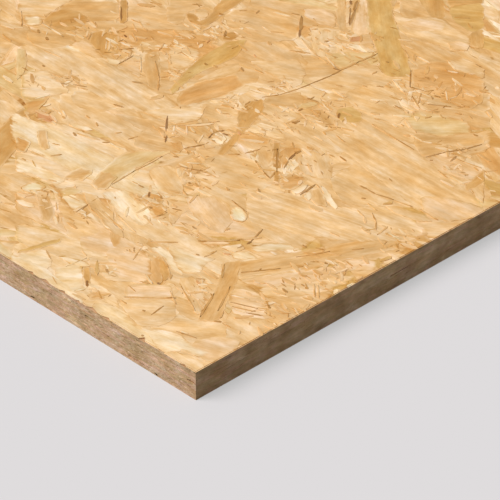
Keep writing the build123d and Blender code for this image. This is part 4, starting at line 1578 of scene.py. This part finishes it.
# How deep the slivers lie under the cut, less at the arrises and at the ends
saw_depth = 0.00018
least_sunk, sunk_at_end, sunk_at_arris = 0.02, 0.1, 0.15
flush_end = 0.004
short_foot, tucked_foot = 0.00003, 0.1
hole_depth = 0.0009

# The wood of the strand ends: its colours with the share of each on the long
# and the short sides, its shade and how much that varies, and its roughness
sawn_colours = {"pink": (213, 174, 143), "tan": (208, 173, 136), "olive": (201, 170, 130)}
long_side_shares, short_side_shares = (0.34, 0.33, 0.33), (0.15, 0.5, 0.35)
long_side_shade, short_side_shade = (-0.045, 0.07), (-0.18, 0.02)
end_roughness = 0.3
# The board behind the holes is painted much darker, as the shade in them
painted_hole_shade, hole_seed = -0.8, 9
lighter_saw_cut = (1.75, 2.0, 2.5)


def sliver_places(length, layers, long_outside):
    """The start, end and layer of each strand end, in a random order."""
    slivers = []
    for layer in range(layers):
        outside = min(layer, layers - 1 - layer) < face_layers
        mean = long_sliver if outside == long_outside else short_sliver
        missing = missing_on_long_side if long_outside else missing_on_short_side
        at = -random.uniform(0, mean)
        while at < length:
            size = mean * random.uniform(*sliver_spread)
            if random.random() > missing or layer in (0, layers - 1):
                slivers.append((at - sliver_overlap * size, at + (1 + sliver_overlap) * size, layer))
            at += size
    random.shuffle(slivers)
    return np.array(slivers).T[:, :, None]


def sliver_arrays(start, along, outwards, length, thickness, long_outside):
    """The mesh and finish values of the strand ends in one sawn side."""
    layers = int(round(thickness / layer_height))
    first, last, layer = sliver_places(length, layers, long_outside)
    count = len(layer)
    a = first + (last - first) * sliver_stations
    waves = sum(size * np.sin(a * pace + layer * shift) for size, pace, shift in layer_waves)
    middle = (layer + 0.5) * layer_height + waves + random.normal(0, layer_stray, (count, 1))
    arris = (layer == 0) | (layer == layers - 1)
    pinched = np.where(arris, 1, pinched_share if long_outside else pinched_share**short_side_pinch)
    half = layer_height * layer_overlap / 2 * pinched * random.uniform(*thickness_spread, (count, 4))
    lower = np.where(layer == 0, 0, np.clip(middle - half, 0, thickness))
    upper = np.where(layer == layers - 1, thickness, np.clip(middle + half, 0, thickness))
    a = np.clip(a, 0, length)
    own_sunk = random.uniform(least_sunk, 1, (count, 1)) ** 2
    own_sunk = own_sunk * np.where(arris, saw_depth * sunk_at_arris, saw_depth)
    from_end = np.minimum(a, length - a)
    sunk = own_sunk * np.clip(from_end / flush_end, sunk_at_end, 1)
    feet = np.where(arris | (from_end < short_foot), sunk + short_foot, hole_depth)

    # Four stations below and four above make a ring of eight points, and each
    # sliver has one at its front and one at its foot
    def ring(there, back=None):
        """Values from one end of a sliver to the other and back."""
        return np.concatenate([there, (there if back is None else back)[:, ::-1]], 1)

    every_a = np.tile(ring(a), (1, 2))
    every_h = np.tile(ring(lower, upper), (1, 2))
    every_sunk = np.concatenate([ring(sunk), ring(feet)], 1)
    start, along, outwards, up = (np.array(v, float) for v in (start, along, outwards, (0, 0, 1)))
    points = (
        start + every_a[:, :, None] * along
        + every_h[:, :, None] * up
        - every_sunk[:, :, None] * outwards
    )
    front = np.array([(i, i + 1, 6 - i, 7 - i) for i in range(3)])
    walls = np.array([(i, i + 8, (i + 1) % 8 + 8, (i + 1) % 8) for i in range(8)])
    order = np.argsort(-own_sunk[:, 0])
    faces = (np.concatenate([walls, front]) + (np.arange(count) * 16)[:, None, None]).reshape(-1, 4)
    rim = np.minimum(every_h, thickness - every_h)
    shares = long_side_shares if long_outside else short_side_shares
    names = random.choice(list(sawn_colours), count, p=shares)
    shade = random.normal(*(long_side_shade if long_outside else short_side_shade), (count, 1))
    colour = np.array([as_light(sawn_colours[n]) for n in names]) * lighter_wood ** shade
    roughness = np.full(count, 1 if long_outside else end_roughness)
    figure = np.stack([random.uniform(0, seed_range, count), roughness, np.zeros(count)], -1)
    tuck = np.repeat([0, tucked_foot], 8)
    flat = np.stack([
        (value + (value.mean(1, keepdims=True) - value) * tuck) / size
        for value, size in ((every_a, length), (every_h, thickness))
    ], -1)
    return mesh_part(
        points[order], faces, [4] * len(faces), flat[order],
        grain=np.stack([every_a, every_h, rim], -1)[order],
        colour=colour[:, None, :], figure=figure[:, None, :],
    )


def hole_arrays(start, along, outwards, length, thickness):
    """The board behind the strand ends, painted dark as the shade in the holes, as one flat sheet."""
    start, along, outwards, up = (np.array(v, float) for v in (start, along, outwards, (0, 0, 1)))
    base = start - outwards * hole_depth
    corners = [base, base + along * length, base + along * length + up * thickness, base + up * thickness]
    flat = np.array([(0, 0), (1, 0), (1, 1), (0, 1)], float)
    hole = {"colour": sawn_colours["pink"], "lighter": painted_hole_shade}
    return mesh_part(
        np.array(corners), np.arange(4), [4], flat,
        grain=np.concatenate([flat * (length, thickness), np.zeros((4, 1))], 1),
        colour=linear_colour(hole), figure=(hole_seed, 0, 0),
    )


# The mottles, dust, pits and clouds of the saw cut, as waves a metre along the
# side and up it, the last ones much larger than a strand. The pits are painted
# dark as the shade in them.
mottle_scales, mottle_weight = (330, 560, 0.002), 1.4
dust_scales, dust_weight = (1300, 1700, 0.01), 0.9
chip_scales, pit_level, sliver_level = (300, 950, 0.02), 0.07, -0.09
painted_pit_shade, sliver_lightness = 7, 4
cut_cloud_scales, cut_cloud_weight, cut_cloud_reach = (70, 120, 1), 1.5, 2.1
cut_warmth_scales, cut_warmth_seed, cut_warmth_weight = (90, 150, 1), 7, 0.6
saw_bump = 0.0002


def sawn_wood_material():
    """Rough sawn strand ends, browner than the face and mottled by the saw."""
    material, tree = new_material("sawn_strand_ends")
    own_colour = read_attribute(tree, "colour")[0]
    _, seed, roughness, _ = read_attribute(tree, "figure")
    _, along, up, _ = read_attribute(tree, "grain")
    mottles = streaks(tree, along, up, seed, mottle_scales, 3)
    dust = streaks(tree, along, up, seed, dust_scales, 1)
    chips = streaks(tree, along, up, seed, chip_scales, 2)
    # Painted shade: dark specks standing for the shade in small pits of the cut
    pits = above(tree, chips, pit_level)
    slivers = above(tree, sliver_level, chips)
    amount = total(
        tree, 0, (mottles, mottle_weight), (dust, dust_weight), (pits, -painted_pit_shade),
        (slivers, sliver_lightness),
    )
    amount = maths(tree, "MULTIPLY", amount, roughness)
    clouds = maths(tree, "MULTIPLY", streaks(tree, along, up, 0, cut_cloud_scales, 2), cut_cloud_weight)
    amount = total(tree, amount, (clouds, maths(tree, "SUBTRACT", cut_cloud_reach, roughness)))
    warmth = streaks(tree, along, up, cut_warmth_seed, cut_warmth_scales, 3)
    warmth = maths(tree, "MULTIPLY", warmth, cut_warmth_weight)
    shade = lightened(tree, own_colour, amount, lighter_saw_cut)
    matt_wood(tree, warmed(tree, shade, warmth), mottles, saw_bump)
    return material


def saw_side(name, start, along, outwards, material):
    """One side of the sheet, in lengths that share it."""
    start, along = Vector(start), Vector(along)
    long_outside = along.y == 0
    pieces = zones_along if long_outside else zones_across
    length = abs((panel_high - panel_low).dot(along)) / pieces
    thickness = panel_high.z - panel_low.z
    for number in range(pieces):
        at = start + along * length * number
        parts = [
            hole_arrays(at, along, outwards, length, thickness),
            sliver_arrays(at, along, outwards, length, thickness, long_outside),
        ]
        piece = mesh_from_arrays(f"{name}_{number + 1}", parts)
        if name == "front_edge" and number == pieces - 1:
            tear_out(piece, False)
            put_top_faces_last(piece, outwards)
        finish_piece(piece, material)


sawn_wood = sawn_wood_material()
base = panel_low.z
saw_side("front_edge", (panel_low.x, panel_low.y, base), (1, 0, 0), (0, -1, 0), sawn_wood)
saw_side("rear_edge", (panel_high.x, panel_high.y, base), (-1, 0, 0), (0, 1, 0), sawn_wood)
saw_side("right_end", (panel_high.x, panel_low.y, base), (0, 1, 0), (1, 0, 0), sawn_wood)
saw_side("left_end", (panel_low.x, panel_high.y, base), (0, -1, 0), (-1, 0, 0), sawn_wood)
